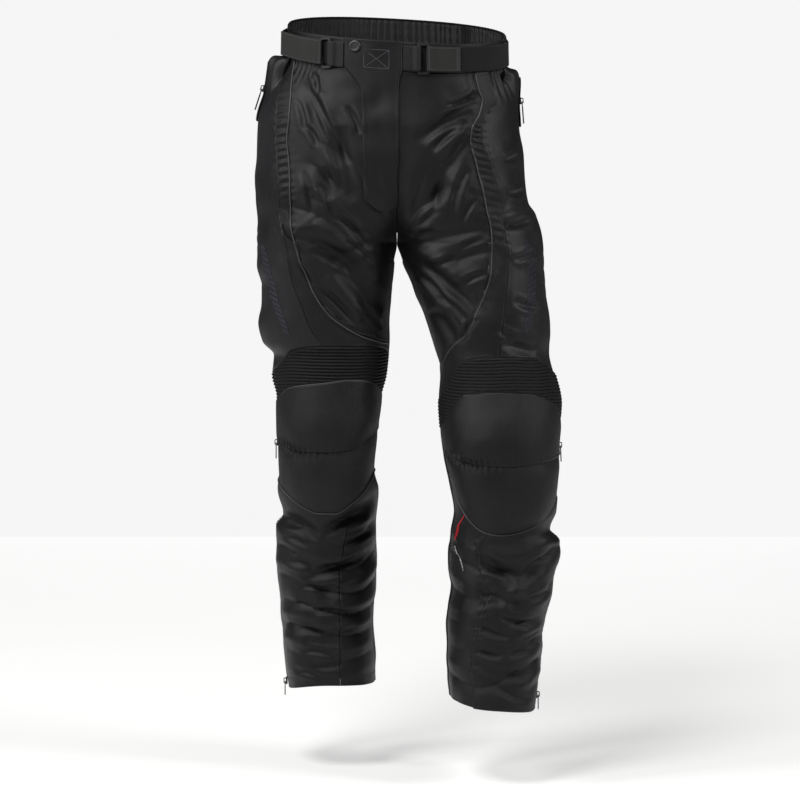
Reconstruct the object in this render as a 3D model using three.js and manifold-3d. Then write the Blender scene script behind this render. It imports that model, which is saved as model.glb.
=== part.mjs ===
// Motorcycle trousers in their worn, hollow form, as the pieces that a maker cuts and sews.
// Millimetres, +Z up. The origin is the middle of the waist opening, and the front faces -Y.
// The wearer's right leg is at -X and the left leg at +X.

import * as THREE from 'three';
import Module from 'manifold-3d';

const wasm = await Module();
wasm.setup();

// Driving sizes

const CLOTH = 2.6;
const SEAM_GAP = 0.3;
const EDGE_GAP = 0.7;
const LAYER_GAP = 1.0;
const BAND_HEIGHT = 45;
const BAND_CLOTH = 3;
const RISE = 306;
const ROUNDNESS = 2.3;
const LEG_LENGTH = 1008;
const SIDE_SEAM = 0.53;
const ZIP_FRONT_EDGE = 0.505;
const PIPING_WIDTH = 3;
const PIPING_HEIGHT = 2.2;
const PIPING_CLEARANCE = 0.8;
const PIPING_STEP = 12;
const RIB_PITCH = 5;
const RIB_HEIGHT = 1.3;
const PATCH_CROWN = 5;
const STRAP_WIDTH = 38;
const RING_WIDTH = 20;
const RING_HEIGHT = 48;
const RING_BAR = 4.5;
const RING_THICKNESS = 3;
const SNAP_RADIUS = 9;

// The waistband sits level at the sides, lower in front than behind, and a little off level sideways.

const BAND_LIFT = 3;
const BAND_FRONT_DROP = 26;
const BAND_SIDE_DROP = 9.4;
const WAIST_HALF_WIDTH = 168;
const WAIST_HALF_DEPTH = 120;
const LEVEL_BELOW = 200;

const BAND_TOP = BAND_HEIGHT / 2;
const BAND_BOTTOM = -BAND_HEIGHT / 2;

// Each leg: sections from waist to hem (outer and inner are distances from the middle plane),
// seam lines across the front (x from the middle plane, or share of the girth at),
// grid heights, and the largest folds (from a0, z0 to a1, z1 in the view that faces them).

const RIGHT = {
  name: 'right',
  sign: -1,
  swing: 45,
  sections: [
    { z: 30, outer: 168, inner: 0, front: -120, back: 120 },
    { z: -22, outer: 169, inner: 0, front: -120, back: 121 },
    { z: -45, outer: 178, inner: 0, front: -121, back: 126 },
    { z: -80, outer: 200, inner: 0, front: -123, back: 138 },
    { z: -120, outer: 216, inner: 0, front: -125, back: 147 },
    { z: -170, outer: 218, inner: 0, front: -124, back: 150 },
    { z: -214, outer: 222, inner: 0, front: -122, back: 150 },
    { z: -260, outer: 219, inner: 0, front: -119, back: 147 },
    { z: -306, outer: 219, inner: 0, front: -115, back: 138 },
    { z: -340, outer: 218, inner: 6, front: -111, back: 131 },
    { z: -372, outer: 211, inner: 8, front: -108, back: 125 },
    { z: -402, outer: 212, inner: 10, front: -106, back: 119 },
    { z: -432, outer: 217, inner: 12, front: -104, back: 112 },
    { z: -460, outer: 211, inner: 12, front: -101, back: 104 },
    { z: -481, outer: 193, inner: 13, front: -98, back: 98 },
    { z: -511, outer: 194, inner: 17, front: -98, back: 91 },
    { z: -545, outer: 186, inner: 26, front: -101, back: 85 },
    { z: -600, outer: 184, inner: 32, front: -110, back: 75 },
    { z: -660, outer: 183, inner: 35, front: -108, back: 72 },
    { z: -690, outer: 187, inner: 29, front: -100, back: 76 },
    { z: -734, outer: 177, inner: 32, front: -84, back: 84 },
    { z: -750, outer: 188, inner: 33, front: -80, back: 87 },
    { z: -799, outer: 189, inner: 32, front: -75, back: 95 },
    { z: -847, outer: 186, inner: 33, front: -71, back: 97 },
    { z: -896, outer: 181, inner: 38, front: -68, back: 98 },
    { z: -944, outer: 178, inner: 36, front: -66, back: 97 },
    { z: -1010, outer: 171, inner: 35, front: -65, back: 95 },
  ],
  piping: [
    { z: -22, x: 156 },
    { z: -60, x: 161 },
    { z: -107, x: 164 },
    { z: -146, x: 167 },
    { z: -184, x: 164 },
    { z: -232, x: 162 },
    { z: -266, x: 162 },
    { z: -293, x: 158 },
    { z: -320, x: 152 },
    { z: -351, x: 140 },
    { z: -387, x: 124 },
    { z: -416, x: 103 },
    { z: -436, x: 77 },
    { z: -451, x: 50 },
    { z: -458, x: 30 },
    { z: -462, x: 15 },
  ],
  pipingEnd: -466,
  sideSeam: [
    { z: -22, x: 163 },
    { z: -76, x: 182 },
    { z: -125, x: 186 },
    { z: -174, x: 183 },
    { z: -223, x: 181 },
    { z: -266, x: 179 },
    { z: -296, x: 173 },
    { z: -339, x: 165 },
    { z: -371, x: 158 },
    { z: -402, x: 145 },
    { z: -434, x: 133 },
    { z: -462, x: 114 },
  ],
  ribTop: [
    { at: 0, z: -478 },
    { at: 0.04, z: -472 },
    { at: 0.12, z: -466 },
    { at: 0.25, z: -464 },
    { at: 0.34, z: -471 },
    { at: 0.43, z: -498 },
    { at: 0.53, z: -512 },
  ],
  patchTop: [
    { at: 0, z: -548 },
    { at: 0.077, z: -529 },
    { at: 0.156, z: -517 },
    { at: 0.2, z: -516 },
    { at: 0.265, z: -521 },
    { at: 0.351, z: -527 },
    { at: 0.47, z: -551 },
    { at: 0.53, z: -560 },
  ],
  patchMiddle: [
    { at: 0, z: -592 },
    { at: 0.08, z: -602 },
    { at: 0.18, z: -623 },
    { at: 0.25, z: -625 },
    { at: 0.33, z: -624 },
    { at: 0.46, z: -611 },
    { at: 0.53, z: -608 },
  ],
  patchBottom: [
    { at: 0, z: -655 },
    { at: 0.06, z: -667 },
    { at: 0.134, z: -691 },
    { at: 0.192, z: -711 },
    { at: 0.235, z: -722 },
    { at: 0.275, z: -722 },
    { at: 0.327, z: -713 },
    { at: 0.381, z: -696 },
    { at: 0.452, z: -677 },
    { at: 0.53, z: -668 },
  ],
  calfSeam: [
    { z: -655, x: 55 },
    { z: -700, x: 64 },
    { z: -750, x: 76 },
    { z: -800, x: 85 },
    { z: -843, x: 88 },
    { z: -1010, x: 88 },
  ],
  hem: [
    { at: 0, z: -1000 },
    { at: 0.25, z: -994 },
    { at: 0.5, z: -1008 },
    { at: 0.75, z: -1010 },
    { at: 1, z: -1000 },
  ],
  lowerHeights: [-400, -416, -430, -441, -451, -458, -461, -466, -475, -492, -513],
  ring: { x: 107, z: -4, lean: -4 },
  anchorInner: 80.5,
  strapProud: 8,
  ear: { at: 0.475, z: -44, height: 24 },
  hollow: { at: 0.42, z: -42, depth: 9 },
  folds: [
    { face: 'front', a0: 141, z0: -50, a1: 80, z1: -190, bow: -6, width: 11, height: -7 },
    { face: 'front', a0: 86, z0: -120, a1: 64, z1: -246, bow: -5, width: 11, height: -9 },
    { face: 'front', a0: 119, z0: -92, a1: 64, z1: -228, bow: -4, width: 13, height: 5 },
    { face: 'front', a0: 112, z0: -190, a1: 98, z1: -240, bow: 3, width: 10, height: -5 },
    { face: 'front', a0: 152, z0: -290, a1: 38, z1: -366, bow: 5, width: 11, height: -10 },
    { face: 'front', a0: 140, z0: -268, a1: 60, z1: -322, bow: 4, width: 12, height: 4 },
    { face: 'front', a0: 92, z0: -344, a1: 24, z1: -416, bow: 5, width: 13, height: -11 },
    { face: 'front', a0: 104, z0: -352, a1: 52, z1: -424, bow: 5, width: 13, height: 5 },
    { face: 'front', a0: 188, z0: -730, a1: 118, z1: -757, bow: 3, width: 10, height: -9 },
    { face: 'front', a0: 122, z0: -757, a1: 28, z1: -700, bow: -4, width: 10, height: -9 },
    { face: 'front', a0: 150, z0: -823, a1: 36, z1: -785, bow: -5, width: 10, height: -8 },
    { face: 'front', a0: 128, z0: -848, a1: 52, z1: -816, bow: -4, width: 9, height: -5 },
    { face: 'front', a0: 158, z0: -862, a1: 96, z1: -866, bow: 4, width: 10, height: -4 },
    { face: 'front', a0: 170, z0: -893, a1: 120, z1: -899, bow: 4, width: 10, height: -4 },
    { face: 'front', a0: 146, z0: -922, a1: 86, z1: -926, bow: -4, width: 10, height: -4 },
    { face: 'back', a0: 190, z0: -330, a1: 40, z1: -296, bow: -8, width: 14, height: -7 },
    { face: 'back', a0: 196, z0: -420, a1: 60, z1: -380, bow: -6, width: 14, height: -6 },
    { face: 'back', a0: 176, z0: -572, a1: 40, z1: -560, bow: -7, width: 11, height: -8 },
    { face: 'back', a0: 172, z0: -622, a1: 44, z1: -630, bow: 6, width: 11, height: -9 },
    { face: 'back', a0: 168, z0: -676, a1: 52, z1: -664, bow: -6, width: 11, height: -7 },
    { face: 'back', a0: 172, z0: -812, a1: 50, z1: -836, bow: 6, width: 12, height: -6 },
    { face: 'back', a0: 168, z0: -902, a1: 52, z1: -888, bow: -6, width: 12, height: -6 },
  ],
};

const LEFT = {
  name: 'left',
  sign: 1,
  swing: -75,
  sections: [
    { z: 30, outer: 168, inner: 0, front: -120, back: 120 },
    { z: -22, outer: 169, inner: 0, front: -120, back: 121 },
    { z: -45, outer: 175, inner: 0, front: -121, back: 126 },
    { z: -80, outer: 186, inner: 0, front: -123, back: 138 },
    { z: -120, outer: 190, inner: 0, front: -125, back: 147 },
    { z: -170, outer: 197, inner: 0, front: -124, back: 150 },
    { z: -214, outer: 200, inner: 0, front: -122, back: 150 },
    { z: -245, outer: 204, inner: 0, front: -120, back: 148 },
    { z: -262, outer: 215, inner: 0, front: -119, back: 147 },
    { z: -292, outer: 225, inner: 0, front: -116, back: 141 },
    { z: -306, outer: 227, inner: 0, front: -115, back: 138 },
    { z: -325, outer: 229, inner: 6, front: -113, back: 134 },
    { z: -354, outer: 230, inner: 17, front: -110, back: 128 },
    { z: -385, outer: 232, inner: 28, front: -107, back: 122 },
    { z: -416, outer: 237, inner: 42, front: -105, back: 115 },
    { z: -446, outer: 238, inner: 53, front: -102, back: 107 },
    { z: -477, outer: 236, inner: 62, front: -98, back: 98 },
    { z: -507, outer: 243, inner: 69, front: -98, back: 91 },
    { z: -552, outer: 252, inner: 67, front: -102, back: 85 },
    { z: -583, outer: 249, inner: 69, front: -109, back: 78 },
    { z: -613, outer: 247, inner: 73, front: -112, back: 74 },
    { z: -644, outer: 248, inner: 77, front: -111, back: 72 },
    { z: -673, outer: 246, inner: 83, front: -106, back: 74 },
    { z: -717, outer: 243, inner: 90, front: -92, back: 80 },
    { z: -747, outer: 234, inner: 85, front: -80, back: 86 },
    { z: -764, outer: 249, inner: 83, front: -77, back: 89 },
    { z: -778, outer: 250, inner: 81, front: -76, back: 92 },
    { z: -807, outer: 242, inner: 82, front: -74, back: 95 },
    { z: -836, outer: 238, inner: 87, front: -72, back: 97 },
    { z: -866, outer: 230, inner: 82, front: -70, back: 98 },
    { z: -895, outer: 222, inner: 79, front: -68, back: 98 },
    { z: -954, outer: 218, inner: 79, front: -66, back: 97 },
    { z: -1022, outer: 209, inner: 85, front: -65, back: 95 },
  ],
  piping: [
    { z: -22, x: 118 },
    { z: -49, x: 124 },
    { z: -69, x: 130 },
    { z: -94, x: 125 },
    { z: -122, x: 113 },
    { z: -146, x: 112 },
    { z: -190, x: 121 },
    { z: -223, x: 129 },
    { z: -255, x: 136 },
    { z: -283, x: 143 },
    { z: -316, x: 144 },
    { z: -351, x: 142 },
    { z: -386, x: 132 },
    { z: -411, x: 121 },
    { z: -440, x: 110 },
    { z: -457, x: 92 },
    { z: -475, x: 78 },
    { z: -490, x: 72 },
  ],
  pipingEnd: -503,
  sideSeam: [
    { z: -22, x: 138 },
    { z: -45, x: 143 },
    { z: -65, x: 149 },
    { z: -91, x: 136 },
    { z: -115, x: 129 },
    { z: -141, x: 128 },
    { z: -170, x: 137 },
    { z: -203, x: 147 },
    { z: -241, x: 159 },
    { z: -263, x: 163 },
    { z: -283, x: 162 },
    { z: -307, x: 166 },
    { z: -339, x: 169 },
    { z: -375, x: 165 },
    { z: -407, x: 162 },
    { z: -445, x: 158 },
    { z: -480, x: 153 },
  ],
  ribTop: [
    { at: 0, z: -548 },
    { at: 0.05, z: -536 },
    { at: 0.1, z: -517 },
    { at: 0.154, z: -487 },
    { at: 0.23, z: -480 },
    { at: 0.344, z: -480 },
    { at: 0.43, z: -498 },
    { at: 0.53, z: -517 },
  ],
  patchTop: [
    { at: 0, z: -592 },
    { at: 0.056, z: -578 },
    { at: 0.164, z: -536 },
    { at: 0.25, z: -533 },
    { at: 0.316, z: -536 },
    { at: 0.42, z: -556 },
    { at: 0.5, z: -578 },
    { at: 0.53, z: -584 },
  ],
  patchMiddle: [
    { at: 0, z: -628 },
    { at: 0.1, z: -633 },
    { at: 0.19, z: -639 },
    { at: 0.25, z: -642 },
    { at: 0.32, z: -639 },
    { at: 0.46, z: -632 },
    { at: 0.53, z: -630 },
  ],
  patchBottom: [
    { at: 0, z: -655 },
    { at: 0.04, z: -669 },
    { at: 0.075, z: -704 },
    { at: 0.15, z: -733 },
    { at: 0.206, z: -745 },
    { at: 0.25, z: -748 },
    { at: 0.3, z: -744 },
    { at: 0.385, z: -728 },
    { at: 0.46, z: -703 },
    { at: 0.53, z: -690 },
  ],
  calfSeam: [
    { z: -655, x: 108 },
    { z: -700, x: 122 },
    { z: -745, x: 131 },
    { z: -762, x: 122 },
    { z: -795, x: 123 },
    { z: -832, x: 140 },
    { z: -850, x: 135 },
    { z: -873, x: 126 },
    { z: -904, x: 122 },
    { z: -926, x: 114 },
    { z: -1010, x: 116 },
  ],
  hem: [
    { at: 0, z: -1001 },
    { at: 0.25, z: -1009 },
    { at: 0.5, z: -1018 },
    { at: 0.75, z: -1016 },
    { at: 1, z: -1001 },
  ],
  lowerHeights: [-402, -424, -440, -450, -460, -475, -489, -503, -512, -524, -535, -548],
  ring: { x: 40, z: -2, lean: 0 },
  anchorInner: 9,
  strapProud: 3,
  ear: { at: 0.475, z: -40, height: 16 },
  hollow: { at: 0.41, z: -34, depth: 7 },
  folds: [
    { face: 'front', a0: 114, z0: -86, a1: 30, z1: -148, bow: 5, width: 9, height: -6 },
    { face: 'front', a0: 108, z0: -104, a1: 72, z1: -184, bow: 5, width: 11, height: 7 },
    { face: 'front', a0: 112, z0: -134, a1: 50, z1: -262, bow: 8, width: 12, height: -10 },
    { face: 'front', a0: 84, z0: -214, a1: 18, z1: -276, bow: 6, width: 11, height: -9 },
    { face: 'front', a0: 140, z0: -286, a1: 12, z1: -318, bow: 6, width: 10, height: -6 },
    { face: 'front', a0: 142, z0: -314, a1: 60, z1: -350, bow: 4, width: 10, height: -5 },
    { face: 'front', a0: 16, z0: -326, a1: 124, z1: -414, bow: -4, width: 9, height: -8 },
    { face: 'front', a0: 28, z0: -306, a1: 110, z1: -378, bow: -4, width: 11, height: 5 },
    { face: 'front', a0: 50, z0: -408, a1: 92, z1: -460, bow: -3, width: 9, height: -6 },
    { face: 'front', a0: 160, z0: -280, a1: 212, z1: -266, bow: 2, width: 8, height: -7 },
    { face: 'front', a0: 158, z0: -452, a1: 214, z1: -470, bow: 3, width: 9, height: -7 },
    { face: 'front', a0: 120, z0: -770, a1: 186, z1: -815, bow: 4, width: 10, height: -9 },
    { face: 'front', a0: 180, z0: -816, a1: 250, z1: -766, bow: 4, width: 10, height: -9 },
    { face: 'front', a0: 192, z0: -824, a1: 160, z1: -862, bow: 6, width: 9, height: 5 },
    { face: 'front', a0: 120, z0: -827, a1: 184, z1: -849, bow: 3, width: 9, height: -6 },
    { face: 'front', a0: 112, z0: -940, a1: 202, z1: -962, bow: 4, width: 9, height: -5 },
    { face: 'front', a0: 132, z0: -966, a1: 212, z1: -988, bow: 3, width: 9, height: -4 },
    { face: 'back', a0: 190, z0: -336, a1: 40, z1: -300, bow: -8, width: 14, height: -7 },
    { face: 'back', a0: 206, z0: -426, a1: 80, z1: -386, bow: -6, width: 14, height: -6 },
    { face: 'back', a0: 234, z0: -580, a1: 90, z1: -566, bow: -7, width: 11, height: -8 },
    { face: 'back', a0: 234, z0: -634, a1: 92, z1: -640, bow: 6, width: 11, height: -9 },
    { face: 'back', a0: 232, z0: -686, a1: 96, z1: -672, bow: -6, width: 11, height: -7 },
    { face: 'back', a0: 230, z0: -820, a1: 96, z1: -842, bow: 6, width: 12, height: -6 },
    { face: 'back', a0: 212, z0: -908, a1: 96, z1: -896, bow: -6, width: 12, height: -6 },
  ],
};

const UPPER_HEIGHTS = [-23, -34, -48, -66, -90, -116, -144, -172, -200, -224, -248, -270, -290,
  -306, -328, -352, -378];

const CALF_HEIGHTS = [-534, -552, -570, -590, -612, -634, -658, -682, -706, -734, -750, -776, -804,
  -832, -862, -892, -922, -952, -982, -1025];

// Materials

const colours = {
  cloth: { color: 0x1b1b1e, roughness: 0.85, metalness: 0 },
  sheenCloth: { color: 0x222226, roughness: 0.6, metalness: 0 },
  rib: { color: 0x18181a, roughness: 0.7, metalness: 0 },
  piping: { color: 0x6c7076, roughness: 0.5, metalness: 0 },
  webbing: { color: 0x2a2b2c, roughness: 0.9, metalness: 0 },
  metal: { color: 0x4a4b4d, roughness: 0.4, metalness: 0.9 },
  rubber: { color: 0x151515, roughness: 0.6, metalness: 0 },
};

const trousers = new THREE.Group();

function addPiece(name, geometry, look) {
  const mesh = new THREE.Mesh(geometry, new THREE.MeshStandardMaterial(colours[look]));
  mesh.name = name;
  trousers.add(mesh);
  return mesh;
}

// Small helpers

const clamp = (value, low, high) => Math.min(high, Math.max(low, value));
const lerp = THREE.MathUtils.lerp;
const smooth = (value, low, high) => THREE.MathUtils.smoothstep(value, low, high);
const bump = (distance) => Math.exp(-distance * distance);
const power = (value, exponent) => Math.sign(value) * Math.abs(value) ** exponent;

// A smooth curve through one column of a table that never overshoots its rows.

function tableCurve(rows, keyName, valueName) {
  const sorted = [...rows].sort((one, other) => one[keyName] - other[keyName]);
  const keys = sorted.map((row) => row[keyName]);
  const values = sorted.map((row) => row[valueName]);
  const last = keys.length - 1;
  const rises = keys.slice(1).map((key, i) => (values[i + 1] - values[i]) / (key - keys[i]));
  const slopes = keys.map((key, i) => {
    if (i === 0) return rises[0];
    if (i === last) return rises[last - 1];
    if (rises[i - 1] * rises[i] <= 0) return 0;
    return (2 * rises[i - 1] * rises[i]) / (rises[i - 1] + rises[i]);
  });
  return (key) => {
    const at = clamp(key, keys[0], keys[last]);
    let i = 0;
    while (i < last - 1 && at > keys[i + 1]) i += 1;
    const span = keys[i + 1] - keys[i];
    const q = (at - keys[i]) / span;
    const fromStart = (1 + 2 * q) * (1 - q) ** 2 * values[i] + q * (1 - q) ** 2 * span * slopes[i];
    const fromEnd = q * q * (3 - 2 * q) * values[i + 1] - q * q * (1 - q) * span * slopes[i + 1];
    return fromStart + fromEnd;
  };
}

// The outer surface of one leg with its half of the seat.
// at runs round the girth: 0 at the middle front or inseam, 0.5 at the outer side, 1 at the middle back.

function section(leg, z) {
  const drop = clamp(-z / RISE, 0, 1);
  const aboveCrotch = z > -RISE;
  const share = drop ** (5 / ROUNDNESS);
  const outer = leg.outer(z);
  const inner = leg.inner(z);
  const halfWidth = aboveCrotch ? outer / (1 + share) : (outer - inner) / 2;
  const front = leg.front(z);
  const back = leg.back(z);
  const swing = leg.swing * Math.max(0, (-RISE - z) / (LEG_LENGTH - RISE));
  return {
    halfWidth,
    middle: aboveCrotch ? halfWidth * share : (outer + inner) / 2,
    halfDepth: (back - front) / 2,
    centre: (back + front) / 2 + swing,
    openAngle: aboveCrotch ? Math.acos(drop ** 2.5) : 0,
  };
}

function girthAngle(cut, at) {
  return cut.openAngle + (2 * Math.PI - 2 * cut.openAngle) * at;
}

function surfacePoint(leg, at, z) {
  const cut = section(leg, z);
  const angle = girthAngle(cut, at);
  const x = cut.middle - cut.halfWidth * power(Math.cos(angle), 2 / ROUNDNESS);
  const y = cut.centre - cut.halfDepth * power(Math.sin(angle), 2 / ROUNDNESS);
  return new THREE.Vector3(leg.sign * x, y, z);
}

function surfaceNormal(leg, at, z) {
  const point = surfacePoint(leg, at, z);
  const across = leg.sign * point.x;
  const level = (height) => {
    const cut = section(leg, height);
    return Math.abs((across - cut.middle) / cut.halfWidth) ** ROUNDNESS
      + Math.abs((point.y - cut.centre) / cut.halfDepth) ** ROUNDNESS;
  };
  const cut = section(leg, z);
  const gradientX = power((across - cut.middle) / cut.halfWidth, ROUNDNESS - 1) / cut.halfWidth;
  const gradientY = power((point.y - cut.centre) / cut.halfDepth, ROUNDNESS - 1) / cut.halfDepth;
  const gradientZ = (level(z + 3) - level(z - 3)) / (6 * ROUNDNESS);
  return new THREE.Vector3(leg.sign * gradientX, gradientY, gradientZ).normalize();
}

function bandTilt(point, z) {
  const share = smooth(z, -LEVEL_BELOW, BAND_BOTTOM);
  const frontToBack = (BAND_FRONT_DROP * point.y) / WAIST_HALF_DEPTH;
  const sideToSide = (BAND_SIDE_DROP * point.x) / WAIST_HALF_WIDTH;
  return share * (BAND_LIFT + frontToBack - sideToSide);
}

function girth(leg, z) {
  const cut = section(leg, z);
  const loop = 2 * Math.PI * Math.hypot(cut.halfWidth, cut.halfDepth) * Math.SQRT1_2;
  return loop * (1 - cut.openAngle / Math.PI);
}

// The share of the girth at which the front stands x away from the middle plane.

function frontShare(leg, z, x) {
  const cut = section(leg, z);
  const across = clamp((x - cut.middle) / cut.halfWidth, -1, 1);
  const angle = Math.acos(-power(across, ROUNDNESS / 2));
  return Math.max(0, (angle - cut.openAngle) / (2 * Math.PI - 2 * cut.openAngle));
}

// Folds: each is a soft trough or ridge along a bowed line, with tapered ends.

function foldHeight(leg, point, normal) {
  let height = 0;
  for (const fold of leg.folds) {
    const facing = fold.face === 'front' ? -normal.y : normal.y;
    const alongX = fold.a1 - fold.a0;
    const alongZ = fold.z1 - fold.z0;
    const length = Math.hypot(alongX, alongZ);
    const fromX = Math.abs(point.x) - fold.a0;
    const fromZ = point.z - fold.z0;
    const along = (fromX * alongX + fromZ * alongZ) / (length * length);
    if (facing > 0 && along > 0 && along < 1) {
      const straight = (fromX * alongZ - fromZ * alongX) / length;
      const across = straight - fold.bow * 4 * along * (1 - along);
      const taper = 1 - Math.abs(2 * along - 1) ** 3;
      height += fold.height * taper * bump(across / fold.width) * smooth(facing, 0.1, 0.5);
    }
  }
  const nearMiddle = point.z > -RISE - 30 ? smooth(Math.abs(point.x), 2, 30) : 1;
  return height * nearMiddle;
}

// The hand pocket gapes under the waistband: a lip that stands out, with a hollow in front of it.

function pocketHeight(leg, at, z) {
  const lip = leg.ear.height * bump((at - leg.ear.at) / 0.035) * bump((z - leg.ear.z) / 24);
  const hollow = leg.hollow.depth * bump((at - leg.hollow.at) / 0.018) * bump((z - leg.hollow.z) / 18);
  return (lip - hollow) * smooth(-z, 22, 34);
}

function reliefAt(leg, at, z) {
  const point = surfacePoint(leg, at, z);
  const normal = surfaceNormal(leg, at, z);
  return foldHeight(leg, point, normal) + pocketHeight(leg, at, z);
}

// A point on the cloth, moved out along the normal. It never crosses the middle plane.

function clothPoint(leg, at, z, out = 0) {
  const point = surfacePoint(leg, at, z);
  const normal = surfaceNormal(leg, at, z);
  const height = reliefAt(leg, at, z) + out;
  point.z += bandTilt(point, z);
  point.addScaledVector(normal, height);
  point.x = leg.sign * Math.max(SEAM_GAP / 2, leg.sign * point.x);
  return point;
}

// Closed solids from grids of points

function closedBody(points, triangles) {
  const places = new Map();
  const positions = [];
  const rename = points.map((point) => {
    const key = [point.x, point.y, point.z].map((value) => Math.round(value * 1000)).join(' ');
    if (!places.has(key)) {
      places.set(key, positions.length / 3);
      positions.push(point.x, point.y, point.z);
    }
    return places.get(key);
  });
  const faces = triangles
    .map((triangle) => triangle.map((corner) => rename[corner]))
    .filter(([a, b, c]) => a !== b && b !== c && c !== a);
  const corner = (index) => new THREE.Vector3().fromArray(positions, 3 * index);
  const volume = faces.reduce((sum, [a, b, c]) => sum + corner(a).dot(corner(b).cross(corner(c))), 0);
  const turned = volume < 0 ? faces.map(([a, b, c]) => [a, c, b]) : faces;
  const geometry = new THREE.BufferGeometry();
  geometry.setAttribute('position', new THREE.Float32BufferAttribute(positions, 3));
  geometry.setIndex(turned.flat());
  geometry.computeVertexNormals();
  return geometry;
}

function zipEdges(points, first, second, triangles) {
  let i = 0;
  let j = 0;
  const lastFirst = first.length - 1;
  const lastSecond = second.length - 1;
  const span = (one, other) => (one === undefined ? Infinity : points[one].distanceTo(points[other]));
  while (i < lastFirst || j < lastSecond) {
    const diagonalFirst = span(first[i + 1], second[j]);
    const diagonalSecond = span(second[j + 1], first[i]);
    if (diagonalFirst <= diagonalSecond) {
      triangles.push([first[i], second[j], first[i + 1]]);
      i += 1;
    } else {
      triangles.push([first[i], second[j], second[j + 1]]);
      j += 1;
    }
  }
}

// A wall between an outer and an inner grid of points, which may differ in fineness.

function wallBody(outer, inner) {
  const points = [...outer.flat(), ...inner.flat()];
  const triangles = [];
  const outerIndex = (row, column) => row * outer[0].length + column;
  const innerStart = outer.length * outer[0].length;
  const innerIndex = (row, column) => innerStart + row * inner[0].length + column;
  const skins = [
    { grid: outer, index: outerIndex, outward: true },
    { grid: inner, index: innerIndex, outward: false },
  ];
  for (const { grid, index, outward } of skins) {
    for (let row = 0; row < grid.length - 1; row += 1) {
      for (let column = 0; column < grid[0].length - 1; column += 1) {
        const a = index(row, column);
        const b = index(row, column + 1);
        const c = index(row + 1, column + 1);
        const d = index(row + 1, column);
        if (outward) triangles.push([a, b, c], [a, c, d]);
        else triangles.push([a, c, b], [a, d, c]);
      }
    }
  }
  const rim = (grid, index) => {
    const rows = grid.map((row, i) => i);
    const columns = grid[0].map((point, j) => j);
    const lastRow = rows.length - 1;
    const lastColumn = columns.length - 1;
    return [
      columns.map((j) => index(0, j)),
      rows.map((i) => index(i, lastColumn)),
      columns.map((j) => index(lastRow, lastColumn - j)),
      rows.map((i) => index(lastRow - i, 0)),
    ];
  };
  const outerRim = rim(outer, outerIndex);
  const innerRim = rim(inner, innerIndex);
  outerRim.forEach((side, i) => zipEdges(points, side, innerRim[i], triangles));
  return closedBody(points, triangles);
}

const evenly = (count) => Array.from({ length: count + 1 }, (unused, i) => i / count);

// The cells of a cut piece: columns are shares between its two long edges,
// rows are either fixed heights, cut off by its top and bottom edges, or shares between those edges.

function cutPieceCells(leg, piece) {
  const rows = piece.heights ?? piece.shares;
  const sideGap = (line, z) => {
    const slant = girth(leg, z) * (line(z + 1) - line(z - 1)) / 2;
    return (SEAM_GAP / 2) * Math.min(6, Math.hypot(1, slant)) / girth(leg, z);
  };
  const atFor = (across, z) => {
    const left = piece.left(z);
    const right = piece.right(z);
    const leftGap = left === 0 && z > -RISE ? 0 : sideGap(piece.left, z);
    const rightGap = right === 1 && z > -RISE ? 0 : sideGap(piece.right, z);
    return lerp(left + leftGap, right - rightGap, across);
  };
  const rowHeight = (row, at) => {
    const top = piece.top(at) - EDGE_GAP / 2;
    const bottom = piece.bottom(at) + EDGE_GAP / 2;
    if (piece.heights) return clamp(row, bottom, top);
    return lerp(top, bottom, row);
  };
  return rows.map((row) => piece.columns.map((across) => {
    let low = -LEG_LENGTH - 60;
    let high = BAND_TOP + 40;
    for (let step = 0; step < 46; step += 1) {
      const z = (low + high) / 2;
      if (z > rowHeight(row, atFor(across, z))) high = z;
      else low = z;
    }
    const z = (low + high) / 2;
    return { at: atFor(across, z), z };
  }));
}

const none = () => 0;

function cutPieceWall(leg, piece, coarse = piece) {
  const lift = piece.lift ?? none;
  const raised = piece.raised ?? none;
  const thickness = piece.thickness ?? (() => CLOTH);
  const outer = cutPieceCells(leg, piece).map((row) => row.map(({ at, z }) => (
    clothPoint(leg, at, z, lift(at, z) + raised(at, z)))));
  const inner = cutPieceCells(leg, coarse).map((row) => row.map(({ at, z }) => (
    clothPoint(leg, at, z, lift(at, z) - thickness(at, z)))));
  return wallBody(outer, inner);
}

// A corded piping: a narrow bead along cells of the cloth, clear of it by a hair.

function pipingBody(leg, path) {
  const cells = everyStep(leg, path);
  const middle = cells.map(({ at, z }) => clothPoint(leg, at, z, PIPING_CLEARANCE));
  const rings = cells.map(({ at, z }, i) => {
    const before = middle[Math.max(0, i - 1)];
    const after = middle[Math.min(cells.length - 1, i + 1)];
    const along = after.clone().sub(before).normalize();
    const normal = surfaceNormal(leg, at, z);
    const across = along.clone().cross(normal).normalize();
    const corner = (side, out) => middle[i].clone().addScaledVector(across, side).addScaledVector(normal, out);
    const base = PIPING_WIDTH / 2;
    const crest = base * 0.5;
    return [corner(-base, 0), corner(-crest, PIPING_HEIGHT), corner(crest, PIPING_HEIGHT), corner(base, 0)];
  });
  return tubeBody(rings);
}

function tubeBody(rings) {
  const sides = rings[0].length;
  const triangles = [];
  for (let i = 0; i < rings.length - 1; i += 1) {
    for (let j = 0; j < sides; j += 1) {
      const next = (j + 1) % sides;
      const a = i * sides + j;
      const b = i * sides + next;
      triangles.push([a, b, b + sides], [a, b + sides, a + sides]);
    }
  }
  const lastStart = (rings.length - 1) * sides;
  for (let j = 1; j < sides - 1; j += 1) {
    triangles.push([0, j + 1, j], [lastStart, lastStart + j, lastStart + j + 1]);
  }
  return closedBody(rings.flat(), triangles);
}

// Tables become curves

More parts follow.
